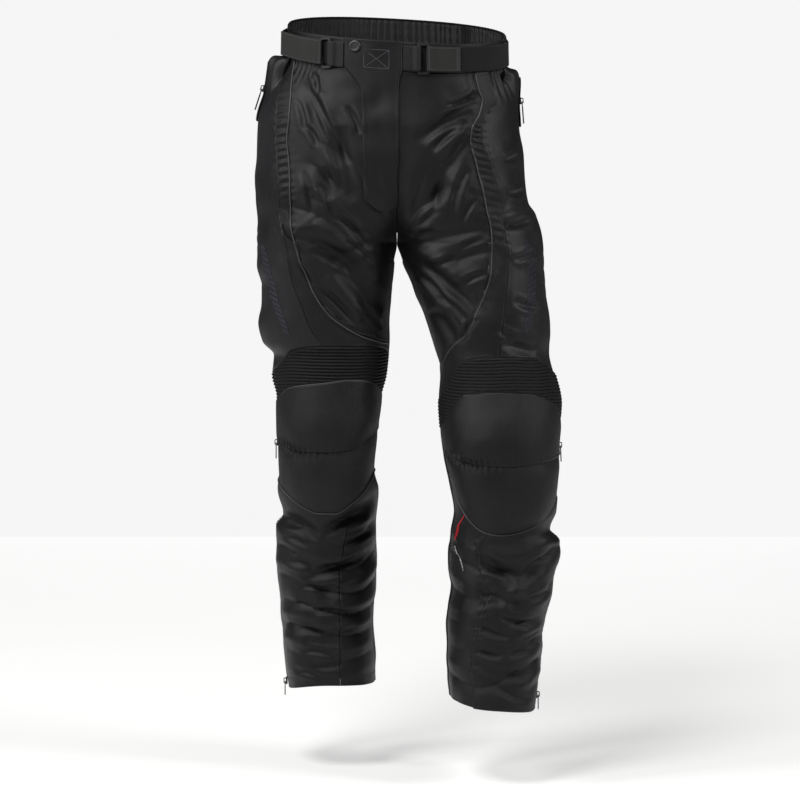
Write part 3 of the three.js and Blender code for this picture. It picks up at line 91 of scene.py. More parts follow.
# %% Tables of the wearer's right leg
# sections: height, outer, inner, front, back
RIGHT = SimpleNamespace(
    name="right",
    sign=-1,
    swing=45,
    sections=[
        (30, 168, 0, -120, 120), (-22, 169, 0, -120, 121), (-45, 178, 0, -121, 126),
        (-80, 200, 0, -123, 138), (-120, 216, 0, -125, 147), (-170, 218, 0, -124, 150),
        (-214, 222, 0, -122, 150), (-260, 219, 0, -119, 147), (-306, 219, 0, -115, 138),
        (-340, 218, 6, -111, 131), (-372, 211, 8, -108, 125), (-402, 212, 10, -106, 119),
        (-432, 217, 12, -104, 112), (-460, 211, 12, -101, 104), (-481, 193, 13, -98, 98),
        (-511, 194, 17, -98, 91), (-545, 186, 26, -101, 85), (-600, 184, 32, -110, 75),
        (-660, 183, 35, -108, 72), (-690, 187, 29, -100, 76), (-734, 177, 32, -84, 84),
        (-750, 188, 33, -80, 87), (-799, 189, 32, -75, 95), (-847, 186, 33, -71, 97),
        (-896, 181, 38, -68, 98), (-944, 178, 36, -66, 97), (-1010, 171, 35, -65, 95),
    ],
    piping=[
        (-22, 156), (-60, 161), (-107, 164), (-146, 167), (-184, 164), (-232, 162), (-266, 162), (-293, 158),
        (-320, 152), (-351, 140), (-387, 124), (-416, 103), (-436, 77), (-451, 50), (-458, 30), (-462, 15),
    ],
    piping_end=-466,
    side_seam=[
        (-22, 163), (-76, 182), (-125, 186), (-174, 183), (-223, 181), (-266, 179), (-296, 173), (-339, 165),
        (-371, 158), (-402, 145), (-434, 133), (-462, 114),
    ],
    rib_top=[(0, -478), (0.04, -472), (0.12, -466), (0.25, -464), (0.34, -471), (0.43, -498), (0.53, -512)],
    patch_top=[
        (0, -548), (0.077, -529), (0.156, -517), (0.2, -516), (0.265, -521), (0.351, -527), (0.47, -551),
        (0.53, -560),
    ],
    patch_middle=[
        (0, -592), (0.08, -602), (0.18, -623), (0.25, -625), (0.33, -624), (0.46, -611), (0.53, -608),
    ],
    patch_bottom=[
        (0, -655), (0.06, -667), (0.134, -691), (0.192, -711), (0.235, -722), (0.275, -722), (0.327, -713),
        (0.381, -696), (0.452, -677), (0.53, -668),
    ],
    calf_seam=[(-655, 55), (-700, 64), (-750, 76), (-800, 85), (-843, 88), (-1010, 88)],
    hem=[(0, -1000), (0.25, -994), (0.5, -1008), (0.75, -1010), (1, -1000)],
    ring=(107, -4, -4),
    anchor_inner=80.5,
    strap_proud=8,
    gathered=0.37,
    ear=(0.475, -44, 24),
    hollow=(0.42, -42, 13, 0.0115, 25),
    fan_from=-352,
    folds=[
        ("front", 141, -50, 80, -190, -6, 11, -7), ("front", 86, -120, 64, -246, -5, 11, -9),
        ("front", 119, -92, 64, -228, -4, 13, 5), ("front", 112, -190, 98, -240, 3, 10, -5),
        ("front", 152, -290, 38, -366, 5, 11, -10), ("front", 140, -268, 60, -322, 4, 12, 4),
        ("front", 92, -344, 24, -416, 5, 13, -11), ("front", 104, -352, 52, -424, 5, 13, 5),
        ("front", 188, -730, 118, -757, 3, 10, -9), ("front", 122, -757, 28, -700, -4, 10, -9),
        ("front", 150, -823, 36, -785, -5, 10, -8), ("front", 128, -848, 52, -816, -4, 9, -5),
        ("front", 158, -862, 96, -866, 4, 10, -4), ("front", 170, -893, 120, -899, 4, 10, -4),
        ("front", 146, -922, 86, -926, -4, 10, -4), ("back", 190, -330, 40, -296, -8, 14, -7),
        ("back", 196, -420, 60, -380, -6, 14, -6), ("back", 176, -572, 40, -560, -7, 11, -8),
        ("back", 172, -622, 44, -630, 6, 11, -9), ("back", 168, -676, 52, -664, -6, 11, -7),
        ("back", 172, -812, 50, -836, 6, 12, -6), ("back", 168, -902, 52, -888, -6, 12, -6),
    ],
    creases=[
        ("front", 133, -60, 91, -155, 3, 4.5, -2.6), ("front", 126, -35, 120, -69, 1, 4, -2.4),
        ("front", 76, -84, 56, -135, 2, 4.5, -2.2), ("front", 138, -122, 120, -157, 2, 4.5, -2.4),
        ("front", 152, -80, 140, -132, 2, 4, -1.8), ("front", 104, -150, 84, -232, 4, 5, -2.2),
        ("front", 118, -214, 96, -276, 4, 4.5, -2.2), ("front", 142, -196, 128, -262, 3, 5, -1.6),
        ("front", 96, -262, 40, -318, 5, 5, -2.6), ("front", 134, -318, 66, -352, 4, 4.5, -2.4),
        ("front", 118, -372, 62, -432, 4, 5, -2.4), ("front", 60, -392, 24, -440, 3, 4.5, -2.2),
        ("front", 84, -300, 34, -338, 4, 4, -1.8), ("front", 150, -338, 128, -372, 2, 4, -1.8),
        ("front", 176, -760, 140, -776, 3, 4.5, -2.6), ("front", 96, -742, 44, -722, -3, 4.5, -2.4),
        ("front", 84, -770, 40, -752, -3, 4, -2), ("front", 168, -800, 128, -812, 3, 4.5, -2.2),
        ("front", 112, -808, 60, -796, -3, 4.5, -2.4), ("front", 150, -838, 110, -846, 3, 4, -2),
        ("front", 128, -876, 70, -882, 3, 4.5, -2), ("front", 160, -908, 112, -914, 3, 4.5, -2),
        ("front", 102, -908, 62, -900, -3, 4.5, -1.8), ("front", 150, -940, 96, -946, 3, 4.5, -2),
        ("front", 132, -962, 78, -958, -3, 5, -1.8), ("front", 160, -972, 118, -980, 3, 4.5, -1.6),
        ("back", 150, -250, 60, -226, -8, 7, -3), ("back", 170, -370, 60, -340, -7, 7, -3),
        ("back", 178, -470, 70, -450, -6, 7, -2.6), ("back", 160, -598, 60, -592, 5, 6, -3.4),
        ("back", 158, -648, 64, -650, -5, 6, -3.4), ("back", 160, -706, 64, -716, 6, 6, -3),
        ("back", 160, -770, 60, -756, -6, 7, -2.8), ("back", 158, -860, 62, -868, 6, 7, -2.6),
        ("back", 150, -944, 66, -934, -5, 7, -2.4),
    ],
)

# %% Tables of the wearer's left leg
LEFT = SimpleNamespace(
    name="left",
    sign=1,
    swing=-75,
    sections=[
        (30, 168, 0, -120, 120), (-22, 169, 0, -120, 121), (-45, 175, 0, -121, 126),
        (-80, 186, 0, -123, 138), (-120, 190, 0, -125, 147), (-170, 197, 0, -124, 150),
        (-214, 200, 0, -122, 150), (-245, 204, 0, -120, 148), (-262, 215, 0, -119, 147),
        (-292, 225, 0, -116, 141), (-306, 227, 0, -115, 138), (-325, 229, 6, -113, 134),
        (-354, 230, 17, -110, 128), (-385, 232, 28, -107, 122), (-416, 237, 42, -105, 115),
        (-446, 238, 53, -102, 107), (-477, 236, 62, -98, 98), (-507, 243, 69, -98, 91),
        (-552, 252, 67, -102, 85), (-583, 249, 69, -109, 78), (-613, 247, 73, -112, 74),
        (-644, 248, 77, -111, 72), (-673, 246, 83, -106, 74), (-717, 243, 90, -92, 80),
        (-747, 234, 85, -80, 86), (-764, 249, 83, -77, 89), (-778, 250, 81, -76, 92),
        (-807, 242, 82, -74, 95), (-836, 238, 87, -72, 97), (-866, 230, 82, -70, 98),
        (-895, 222, 79, -68, 98), (-954, 218, 79, -66, 97), (-1022, 209, 85, -65, 95),
    ],
    piping=[
        (-22, 118), (-49, 124), (-69, 130), (-94, 125), (-122, 113), (-146, 112), (-190, 121), (-223, 129),
        (-255, 136), (-283, 143), (-316, 144), (-351, 142), (-386, 132), (-411, 121), (-440, 110), (-457, 92),
        (-475, 78), (-490, 72),
    ],
    piping_end=-503,
    side_seam=[
        (-22, 138), (-45, 143), (-65, 149), (-91, 136), (-115, 129), (-141, 128), (-170, 137),
        (-203, 147), (-241, 159), (-263, 163), (-283, 162), (-307, 166), (-339, 169), (-375, 165),
        (-407, 162), (-445, 158), (-480, 153),
    ],
    rib_top=[
        (0, -548), (0.05, -536), (0.1, -517), (0.154, -487), (0.23, -480), (0.344, -480), (0.43, -498),
        (0.53, -517),
    ],
    patch_top=[
        (0, -592), (0.056, -578), (0.164, -536), (0.25, -533), (0.316, -536), (0.42, -556), (0.5, -578),
        (0.53, -584),
    ],
    patch_middle=[
        (0, -628), (0.1, -633), (0.19, -639), (0.25, -642), (0.32, -639), (0.46, -632), (0.53, -630),
    ],
    patch_bottom=[
        (0, -655), (0.04, -669), (0.075, -704), (0.15, -733), (0.206, -745), (0.25, -748), (0.3, -744),
        (0.385, -728), (0.46, -703), (0.53, -690),
    ],
    calf_seam=[
        (-655, 108), (-700, 122), (-745, 131), (-762, 122), (-795, 123), (-832, 140), (-850, 135),
        (-873, 126), (-904, 122), (-926, 114), (-1010, 116),
    ],
    hem=[(0, -1001), (0.25, -1009), (0.5, -1018), (0.75, -1016), (1, -1001)],
    ring=(40, -2, 0),
    anchor_inner=9,
    strap_proud=3,
    gathered=0.13,
    ear=(0.475, -40, 16),
    hollow=(0.41, -32, 10, 0.022, 10),
    fan_from=-470,
    folds=[
        ("front", 114, -86, 30, -148, 5, 9, -6), ("front", 108, -104, 72, -184, 5, 11, 7),
        ("front", 112, -134, 50, -262, 8, 12, -6), ("front", 84, -214, 18, -276, 6, 11, -7),
        ("front", 140, -286, 12, -318, 6, 10, -6), ("front", 142, -314, 60, -350, 4, 10, -5),
        ("front", 16, -326, 124, -414, -4, 9, -8), ("front", 28, -306, 110, -378, -4, 11, 5),
        ("front", 50, -408, 92, -460, -3, 9, -6), ("front", 160, -280, 212, -266, 2, 8, -7),
        ("front", 158, -452, 214, -470, 3, 9, -7), ("front", 120, -770, 186, -815, 4, 10, -9),
        ("front", 180, -816, 250, -766, 4, 10, -9), ("front", 192, -824, 160, -862, 6, 9, 5),
        ("front", 120, -827, 184, -849, 3, 9, -6), ("front", 112, -940, 202, -962, 4, 9, -5),
        ("front", 132, -966, 212, -988, 3, 9, -4), ("back", 190, -336, 40, -300, -8, 14, -7),
        ("back", 206, -426, 80, -386, -6, 14, -6), ("back", 234, -580, 90, -566, -7, 11, -8),
        ("back", 234, -634, 92, -640, 6, 11, -9), ("back", 232, -686, 96, -672, -6, 11, -7),
        ("back", 230, -820, 96, -842, 6, 12, -6), ("back", 212, -908, 96, -896, -6, 12, -6),
    ],
    creases=[
        ("front", 123, -52, 79, -78, -4, 4.5, -3), ("front", 118, -72, 70, -104, 3, 4, -2),
        ("front", 96, -120, 52, -166, 4, 5, -2.4), ("front", 76, -204, 55, -255, 3, 5, -1.4),
        ("front", 61, -248, 23, -280, 3, 5, 2.2), ("front", 108, -190, 84, -262, 4, 5, -2),
        ("front", 122, -236, 96, -282, 4, 4.5, -2), ("front", 60, -288, 20, -300, 3, 4.5, -2.4),
        ("front", 134, -300, 90, -318, 3, 4.5, -2.2), ("front", 88, -326, 48, -340, -3, 4.5, -2.2),
        ("front", 136, -352, 96, -372, 3, 4.5, -2), ("front", 30, -352, 78, -404, -4, 4.5, -2.6),
        ("front", 62, -386, 112, -432, -4, 4.5, -2.2), ("front", 118, -420, 98, -462, 3, 4.5, -2),
        ("front", 166, -180, 190, -168, 3, 4.5, -1.8), ("front", 170, -232, 204, -222, 3, 4.5, -2),
        ("front", 176, -330, 214, -316, 3, 4.5, -1.8), ("front", 178, -392, 220, -404, 3, 5, -2),
        ("front", 150, -434, 186, -452, 3, 4.5, -2), ("front", 124, -790, 168, -806, 3, 4.5, -2.4),
        ("front", 196, -796, 238, -784, -3, 4.5, -2.4), ("front", 200, -846, 234, -832, 3, 4.5, -2.2),
        ("front", 150, -866, 206, -882, 4, 5, -2.4), ("front", 128, -886, 176, -902, 3, 4.5, -2.2),
        ("front", 186, -902, 222, -892, 3, 4.5, -1.8), ("front", 120, -918, 160, -930, 3, 4.5, -2.2),
        ("front", 168, -930, 212, -924, -3, 4.5, -2), ("front", 150, -976, 204, -998, 3, 4.5, -2),
        ("back", 160, -250, 60, -226, -8, 7, -3), ("back", 180, -376, 66, -346, -7, 7, -3),
        ("back", 212, -476, 96, -456, -6, 7, -2.6), ("back", 222, -606, 104, -600, 5, 6, -3.4),
        ("back", 220, -660, 106, -660, -5, 6, -3.4), ("back", 222, -718, 108, -728, 6, 6, -3),
        ("back", 218, -776, 108, -764, -6, 7, -2.8), ("back", 210, -866, 104, -874, 6, 7, -2.6),
        ("back", 202, -952, 104, -942, -5, 7, -2.4),
    ],
)
LEGS = (RIGHT, LEFT)
print("leg tables:", [(leg.name, len(leg.sections), "sections") for leg in LEGS])

# %% [markdown]
# ## Smooth curves and the skin of a leg
# A curve through a table must not overshoot its rows, so each slope is the harmonic mean of its
# neighbours. The skin is a rounded box section (a superellipse). `at` runs round the girth: 0 is the
# middle front or the inseam, a quarter is the front, a half is the outer side, and 1 is the middle back.


# %% Curves and the section at a height
def table_curve(rows, column=1):
    ordered = sorted(rows)
    keys = np.array([row[0] for row in ordered], float)
    values = np.array([row[column] for row in ordered], float)
    rises = np.diff(values) / np.diff(keys)
    slopes = np.concatenate([[rises[0]], np.zeros(len(keys) - 2), [rises[-1]]])
    before, after = rises[:-1], rises[1:]
    turning = before * after <= 0
    total = np.where(turning, 1, before + after)
    slopes[1:-1] = np.where(turning, 0, 2 * before * after / total)

    def curve(key):
        at = np.clip(key, keys[0], keys[-1])
        i = np.clip(np.searchsorted(keys, at) - 1, 0, len(keys) - 2)
        span = keys[i + 1] - keys[i]
        q = (at - keys[i]) / span
        from_start = (1 + 2 * q) * (1 - q) ** 2 * values[i] + q * (1 - q) ** 2 * span * slopes[i]
        from_end = q * q * (3 - 2 * q) * values[i + 1] - q * q * (1 - q) * span * slopes[i + 1]
        return from_start + from_end

    return curve


def power(value, exponent):
    return np.sign(value) * np.abs(value) ** exponent


def bump(distance):
    return np.exp(-distance * distance)


def smooth(value, low, high):
    share = np.clip((value - low) / (high - low), 0, 1)
    return share * share * (3 - 2 * share)


def lerp(low, high, share):
    return low + (high - low) * share


def constant(value):
    """An edge that stays at one share of the girth, or at one height, all along."""
    return lambda along: value + 0 * along


INSEAM, MIDDLE_BACK = constant(0.0), constant(1.0)
SIDE_LINE, ZIP_LINE = constant(SIDE_SEAM), constant(ZIP_FRONT_EDGE)
WAIST_LINE = constant(BAND_BOTTOM)


def section(leg, z):
    drop = np.clip(-z / RISE, 0, 1)
    above = z > -RISE
    share = drop ** (5 / ROUNDNESS)
    outer, inner = leg.outer(z), leg.inner(z)
    half_width = np.where(above, outer / (1 + share), (outer - inner) / 2)
    front, back = leg.front(z), leg.back(z)
    swing = leg.swing * np.maximum(0, (-RISE - z) / (LEG_LENGTH - RISE))
    return SimpleNamespace(
        half_width=half_width,
        middle=np.where(above, half_width * share, (outer + inner) / 2),
        half_depth=(back - front) / 2,
        centre=(back + front) / 2 + swing,
        open_angle=np.where(above, np.arccos(drop**2.5), 0),
    )


# %% Points and outward directions of the skin
def surface(leg, at, z):
    cut = section(leg, z)
    angle = cut.open_angle + (2 * np.pi - 2 * cut.open_angle) * at
    x = cut.middle - cut.half_width * power(np.cos(angle), 2 / ROUNDNESS)
    y = cut.centre - cut.half_depth * power(np.sin(angle), 2 / ROUNDNESS)
    return np.stack([leg.sign * x, y, z + 0 * x], -1)


def outward(leg, at, z):
    point = surface(leg, at, z)
    across, depth = leg.sign * point[..., 0], point[..., 1]

    def level(height):
        cut = section(leg, height)
        return (
            np.abs((across - cut.middle) / cut.half_width) ** ROUNDNESS
            + np.abs((depth - cut.centre) / cut.half_depth) ** ROUNDNESS
        )

    cut = section(leg, z)
    grad_x = power((across - cut.middle) / cut.half_width, ROUNDNESS - 1) / cut.half_width
    grad_y = power((depth - cut.centre) / cut.half_depth, ROUNDNESS - 1) / cut.half_depth
    grad_z = (level(z + 3) - level(z - 3)) / (6 * ROUNDNESS)
    normal = np.stack([leg.sign * grad_x, grad_y, grad_z], -1)
    return normal / np.linalg.norm(normal, axis=-1, keepdims=True)


def band_tilt(point, z):
    share = smooth(z, -LEVEL_BELOW, BAND_BOTTOM)
    front_to_back = BAND_FRONT_DROP * point[..., 1] / WAIST_HALF_DEPTH
    side_to_side = BAND_SIDE_DROP * point[..., 0] / WAIST_HALF_WIDTH
    return share * (BAND_LIFT + front_to_back - side_to_side)


def girth(leg, z):
    cut = section(leg, z)
    loop = 2 * np.pi * np.hypot(cut.half_width, cut.half_depth) * math.sqrt(0.5)
    return loop * (1 - cut.open_angle / np.pi)


def front_share(leg, z, x):
    cut = section(leg, z)
    across = np.clip((x - cut.middle) / cut.half_width, -1, 1)
    angle = np.arccos(np.clip(-power(across, ROUNDNESS / 2), -1, 1))
    return np.maximum(0, (angle - cut.open_angle) / (2 * np.pi - 2 * cut.open_angle))


# %% Tables become curves
def prepare(leg):
    for column, key in enumerate(("outer", "inner", "front", "back"), 1):
        setattr(leg, key, table_curve(leg.sections, column))
    piping_x, seam_x, calf_x = (table_curve(rows) for rows in (leg.piping, leg.side_seam, leg.calf_seam))
    last_z = leg.piping[-1][0]
    last_share = front_share(leg, float(last_z), piping_x(last_z))
    seam_z, seam_last = leg.side_seam[-1]
    seam_share = front_share(leg, float(seam_z), seam_last)

    def piping_line(z):
        tail = last_share * np.clip((z - leg.piping_end) / (last_z - leg.piping_end), 0, 1)
        return np.where(z >= last_z, front_share(leg, z, piping_x(z)), tail)

    leg.piping_line = piping_line
    leg.tip_share, leg.tip_z = last_share, last_z
    leg.seam_line = lambda z: np.where(z >= seam_z, front_share(leg, z, seam_x(z)), seam_share)
    leg.calf_line = lambda z: front_share(leg, z, calf_x(z))
    for edge in ("rib_top", "patch_top", "patch_middle", "patch_bottom", "hem"):
        setattr(leg, edge + "_line", table_curve(getattr(leg, edge)))


for leg in LEGS:
    prepare(leg)
    print(leg.name, "hem girth", round(float(girth(leg, -1000.0))), "mm")

# %% [markdown]
# ## Relief: from the largest folds to the smallest
# Cloth that is too long for the body under it buckles. The large folds repeat those of the solids.
# Between them lie sharp creases with a raised lip, a net of fine creases where the leg bends, and a
# slight unevenness all over. Waves of many directions, added up, give an unevenness that runs on across
# every seam.


# %% Waves that run through the whole garment
def waves(point, lengths, seed, count=7):
    dice = np.random.default_rng(seed)
    total = np.zeros(point.shape[:-1])
    for _ in range(count):
        direction = dice.normal(size=3)
        direction /= np.linalg.norm(direction)
        stretch = direction * 2 * np.pi / np.array(lengths) * dice.uniform(0.75, 1.3)
        total += np.sin(point @ stretch + dice.uniform(0, 2 * np.pi))
    return total / math.sqrt(count / 2)


def clear_of_middle(point):
    return np.where(point[..., 2] > -RISE - 30, smooth(np.abs(point[..., 0]), 2, 30), 1)


def fold_height(folds, point, normal, lip=0.0):
    height = np.zeros(point.shape[:-1])
    for face, a0, z0, a1, z1, bow, width, depth in folds:
        facing = -normal[..., 1] if face == "front" else normal[..., 1]
        along_x, along_z = a1 - a0, z1 - z0
        length = math.hypot(along_x, along_z)
        from_x = np.abs(point[..., 0]) - a0
        from_z = point[..., 2] - z0
        along = (from_x * along_x + from_z * along_z) / length**2
        inside = (facing > 0) & (along > 0) & (along < 1)
        held = np.clip(along, 0, 1)
        across = (from_x * along_z - from_z * along_x) / length - bow * 4 * held * (1 - held)
        taper = 1 - np.abs(2 * held - 1) ** 3
        profile = bump(across / width) - lip * bump((np.abs(across) - 1.9 * width) / (0.9 * width))
        height += np.where(inside, depth * taper * profile * smooth(facing, 0.1, 0.5), 0)
    return height * clear_of_middle(point)


def pocket_height(leg, at, z):
    ear_at, ear_z, ear_height = leg.ear
    hollow_at, hollow_z, hollow_depth, half_at, half_z = leg.hollow
    ear_slope = np.where(z < ear_z, 30, 24)
    lip = ear_height * bump((at - ear_at) / 0.035) * bump((z - ear_z) / ear_slope)
    hollow = hollow_depth * bump((at - hollow_at) / half_at) * bump((z - hollow_z) / half_z)
    return (lip - hollow) * smooth(-z, 22, 34)


# %% Fine creases where the cloth bends most
def crumple(point, normal):
    z = point[..., 2]
    back = smooth(normal[..., 1], -0.1, 0.5)
    lower = bump((z + 860) / 120) * 0.35 + bump((z + 770) / 45) * 0.25
    behind_knee = back * bump((z + 620) / 90)
    hip = bump((z + 290) / 90) * 0.8
    strength = np.clip(lower + behind_knee + hip, 0, 1)
    net = waves(point, (150, 150, 46), 11)
    second = waves(point, (90, 90, 120), 23)
    patchy = smooth(waves(point, (110, 110, 70), 31), -0.2, 0.9)
    lines = bump(net / 0.22) * patchy + 0.5 * bump(second / 0.16) * (1 - patchy)
    swell = 0.9 * net
    return strength * (swell - 1.5 * lines)


# %% Drapes that start at the crotch, and arcs that hang across the shins
def facets(phase):
    """A wave of nearly flat faces that meet in crests and valleys, as stiff cloth folds."""
    return np.arcsin(0.96 * np.sin(phase)) / math.asin(0.96)


def drapes(leg, point, normal):
    x, z = np.abs(point[..., 0]), point[..., 2]
    reach = np.hypot(x, z + RISE)
    turn = np.arctan2(z + RISE, x)
    phase = 15 * turn + 0.9 * waves(point, (130, 130, 130), 17, 5) + leg.swing
    ridges = 2.3 * facets(phase) - 1.6 * bump(np.sin(phase / 2 + 0.7) / 0.2)
    patchy = smooth(waves(point, (140, 140, 110), 19, 5), -1.2, 0.9)
    near = smooth(reach, 24, 70) * (1 - smooth(reach, 130, 215)) * smooth(z, leg.fan_from, leg.fan_from + 60)
    return ridges * patchy * near * smooth(-normal[..., 1], 0.1, 0.6)


def arcs(leg, point, normal):
    z = point[..., 2]
    cut = section(leg, z)
    across = (np.abs(point[..., 0]) - cut.middle) / cut.half_width
    sag = 32 * (1 - across**2) + 14 * waves(point, (230, 230, 260), 29, 5)
    phase = 2 * np.pi * (z + sag) / 45
    ridges = 3.0 * facets(phase) - 2.0 * bump(np.sin(phase / 2 + 0.6) / 0.2)
    patchy = 0.3 + 0.7 * smooth(waves(point, (240, 240, 110), 37, 6), -1.0, 0.8)
    span = smooth(-z, 715, 760) * (1 - smooth(-z, 965, 995))
    return ridges * patchy * span * smooth(-normal[..., 1], -0.2, 0.5)


def relief(leg, at, z, point, normal):
    uneven = 0.7 * waves(point, (95, 95, 130), 3) + 0.28 * waves(point, (34, 34, 42), 5, 9)
    calm = smooth(-z, 24, 60)
    small = CREASE_GAIN * fold_height(leg.creases, point, normal, lip=0.45)
    fine = (uneven + crumple(point, normal) + drapes(leg, point, normal)) * calm * clear_of_middle(point)
    large = FOLD_GAIN * fold_height(leg.folds, point, normal)
    return large + pocket_height(leg, at, z) + small + fine + arcs(leg, point, normal)


def cloth_point(leg, at, z, out=0.0):
    point = surface(leg, at, z)
    normal = outward(leg, at, z)
    height = relief(leg, at, z, point, normal) + out
    placed = point + normal * height[..., None]
    placed[..., 2] += band_tilt(point, z)
    placed[..., 0] = leg.sign * np.maximum(SEAM_GAP / 2, leg.sign * placed[..., 0])
    return placed


# %% [markdown]
# ## A cut piece as a grid
# Every panel starts as Blender's grid primitive. Its vertices move onto the skin, between the two long
# edges of the panel and its top and bottom. Lines of the grid crowd near the edges, where the cloth rolls
# into the seam. The grid's UV map is then measured along the cloth, so that a weave keeps its real size
# everywhere.


# %% Grid lines, and the skin under them
def grid_lines(length, step=GRID, edge=(0, 0.7, 1.6, 2.6, 4.0)):
    start = np.array(edge)
    count = max(2, round((length - 2 * start[-1]) / step))
    middle = np.linspace(start[-1], length - start[-1], count + 1)
    return np.concatenate([start[:-1], middle, length - start[:-1][::-1]]) / length


def panel_cells(leg, panel, columns, rows):
    if hasattr(panel, "cells"):
        return panel.cells(columns, rows)
    across, down = np.meshgrid(columns, rows)

    def share_at(z):
        left, right = panel.left(z), panel.right(z)
        gap = SEAM_GAP / 2 / girth(leg, z)
        left_gap = np.where((left == 0) & (z > -RISE), 0, gap)
        right_gap = np.where((right == 1) & (z > -RISE), 0, gap)
        return lerp(left + left_gap, right - right_gap, across)

    low = np.full(across.shape, -LEG_LENGTH - 60.0)
    high = np.full(across.shape, BAND_TOP + 40.0)
    for _ in range(36):
        z = (low + high) / 2
        at = share_at(z)
        target = lerp(panel.top(at) - EDGE_GAP / 2, panel.bottom(at) + EDGE_GAP / 2, down)
        low, high = np.where(z > target, low, z), np.where(z > target, z, high)
    z = (low + high) / 2
    return share_at(z), z


def edge_roll(columns, rows, width, length, roll):
    across = np.minimum(columns, 1 - columns) * width
    down = np.minimum(rows, 1 - rows) * length
    nearest = np.minimum(across[None, :] + 0 * down[:, None], down[:, None] + 0 * across[None, :])
    welt = 0.35 * bump((nearest - 1.9) / 1.1)
    return welt - roll * bump(nearest / 0.8)


def measure(points):
    along = np.linalg.norm(np.diff(points, axis=1), axis=-1)
    down = np.linalg.norm(np.diff(points, axis=0), axis=-1)
    u = np.concatenate([np.zeros((len(points), 1)), np.cumsum(along, 1)], 1)
    v = np.concatenate([np.zeros((1, points.shape[1])), np.cumsum(down, 0)], 0)
    middle = points.shape[1] // 2
    return u - u[:, middle : middle + 1], v[:, middle : middle + 1] + 0 * u


# %% A grid primitive laid over points
def lay_grid(name, points, outwards):
    rows, columns = points.shape[0] - 1, points.shape[1] - 1
    bpy.ops.mesh.primitive_grid_add(x_subdivisions=columns, y_subdivisions=rows, size=2, calc_uvs=True)
    piece = bpy.context.object
    piece.name = piece.data.name = name
    mesh = piece.data
    flat = np.empty(len(mesh.vertices) * 3)
    mesh.vertices.foreach_get("co", flat)
    flat = flat.reshape(-1, 3)
    column = np.rint((flat[:, 0] + 1) / 2 * columns).astype(int)
    row = np.rint((1 - flat[:, 1]) / 2 * rows).astype(int)
    mesh.vertices.foreach_set("co", (points[row, column] * MM).ravel())
    u, v = measure(points)
    corners = np.empty(len(mesh.loops), int)
    mesh.loops.foreach_get("vertex_index", corners)
    uv = np.stack([u[row, column][corners], v[row, column][corners]], -1) * MM
    mesh.uv_layers.active.data.foreach_set("uv", uv.ravel())
    mesh.update()
    middle = mesh.polygons[len(mesh.polygons) // 2]
    if np.dot(np.array(middle.normal), outwards) < 0:
        mesh.flip_normals()
    return piece


def shade_and_leave(degrees):
    bpy.ops.object.shade_smooth_by_angle(angle=math.radians(degrees))
    bpy.ops.object.select_all(action="DESELECT")


def thicken(piece, wall):
    solid = piece.modifiers.new("Wall", "SOLIDIFY")
    solid.thickness = wall * MM
    solid.offset = -1
    solid.use_quality_normals = True
    bpy.context.view_layer.objects.active = piece
    bpy.ops.object.modifier_apply(modifier=solid.name)
    shade_and_leave(50)


PANELS = {}


def settle(piece, look, nodes=()):
    piece.data.materials.clear()
    piece.data.materials.append(look)
    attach(piece, GARMENT)
    if nodes:
        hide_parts(*nodes)
    PANELS[piece.name] = piece


def panel_middle(panel):
    z = -60.0
    at = 0.3
    for _ in range(20):
        at = float(panel.left(z) + panel.right(z)) / 2
        z = float(panel.top(at) + panel.bottom(at)) / 2
    return at, z


# The flat area of a cut is that of its smooth section surface, before any fold or crease is laid over it.
CUT_AREA = {}


def smooth_area(points):
    across = np.diff(points, axis=1)[:-1]
    down = np.diff(points, axis=0)[:, :-1]
    return float(np.linalg.norm(np.cross(across, down), axis=-1).sum()) * MM * MM


def cut_piece(leg, name, panel, look, raised=None, step=GRID, roll=1.0, wall=WALL):
    rough_columns, rough_rows = np.linspace(0, 1, 9), np.linspace(0, 1, 25)
    at, z = panel_cells(leg, panel, rough_columns, rough_rows)
    rough = surface(leg, at, z)
    widths = np.linalg.norm(np.diff(rough, axis=1), axis=-1).sum(1)
    lengths = np.linalg.norm(np.diff(rough, axis=0), axis=-1).sum(0)
    width, length = widths.mean(), lengths.mean()
    CUT_AREA[f"{leg.name}_{name}_cloth"] = smooth_area(rough)
    columns, rows = grid_lines(width, step), grid_lines(length, step)
    at, z = panel_cells(leg, panel, columns, rows)
    out = edge_roll(columns, rows, width, length, roll)
    if raised is not None:
        out = out + raised(at, z)
    points = cloth_point(leg, at, z, out)
    middle_at, middle_z = panel_middle(panel)
    direction = outward(leg, np.array(middle_at), np.array(middle_z))
    piece = lay_grid(f"{leg.name}_{name}_cloth", points, direction)
    thicken(piece, wall)
    settle(piece, look, [f"{leg.name}_{name}"])
    most = f"{widths.max():.0f} x {lengths.max():.0f} mm"
    print(f"{piece.name}: {len(rows)} x {len(columns)} lines, at most {most}")


# %% [markdown]
# ## Finishes
# The main cloth is a near-black plain weave of thick polyester yarn. Warp and weft each round over and
# under, so the bump is the product of two sine waves on the measured UV map. A slight sheen lifts the
# edges of the legs where the fibres catch the light, and slow noise varies the roughness, as on cloth
# that has been worn. The side, knee, rib and webbing looks are the same weave in other yarns.


# %% Node helpers
def new_look(name, colour, roughness, **sockets):
    look = bpy.data.materials.new(name)
    look.use_nodes = True
    shader = look.node_tree.nodes["Principled BSDF"]
    shader.inputs["Base Color"].default_value = (*colour, 1)
    shader.inputs["Roughness"].default_value = roughness
    for socket, value in sockets.items():
        shader.inputs[socket.replace("_", " ")].default_value = value
    return look, look.node_tree, shader


def add_node(tree, kind, **values):
    node = tree.nodes.new(kind)
    for key, value in values.items():
        if key in node.inputs:
            node.inputs[key].default_value = value
        else:
            setattr(node, key, value)
    return node


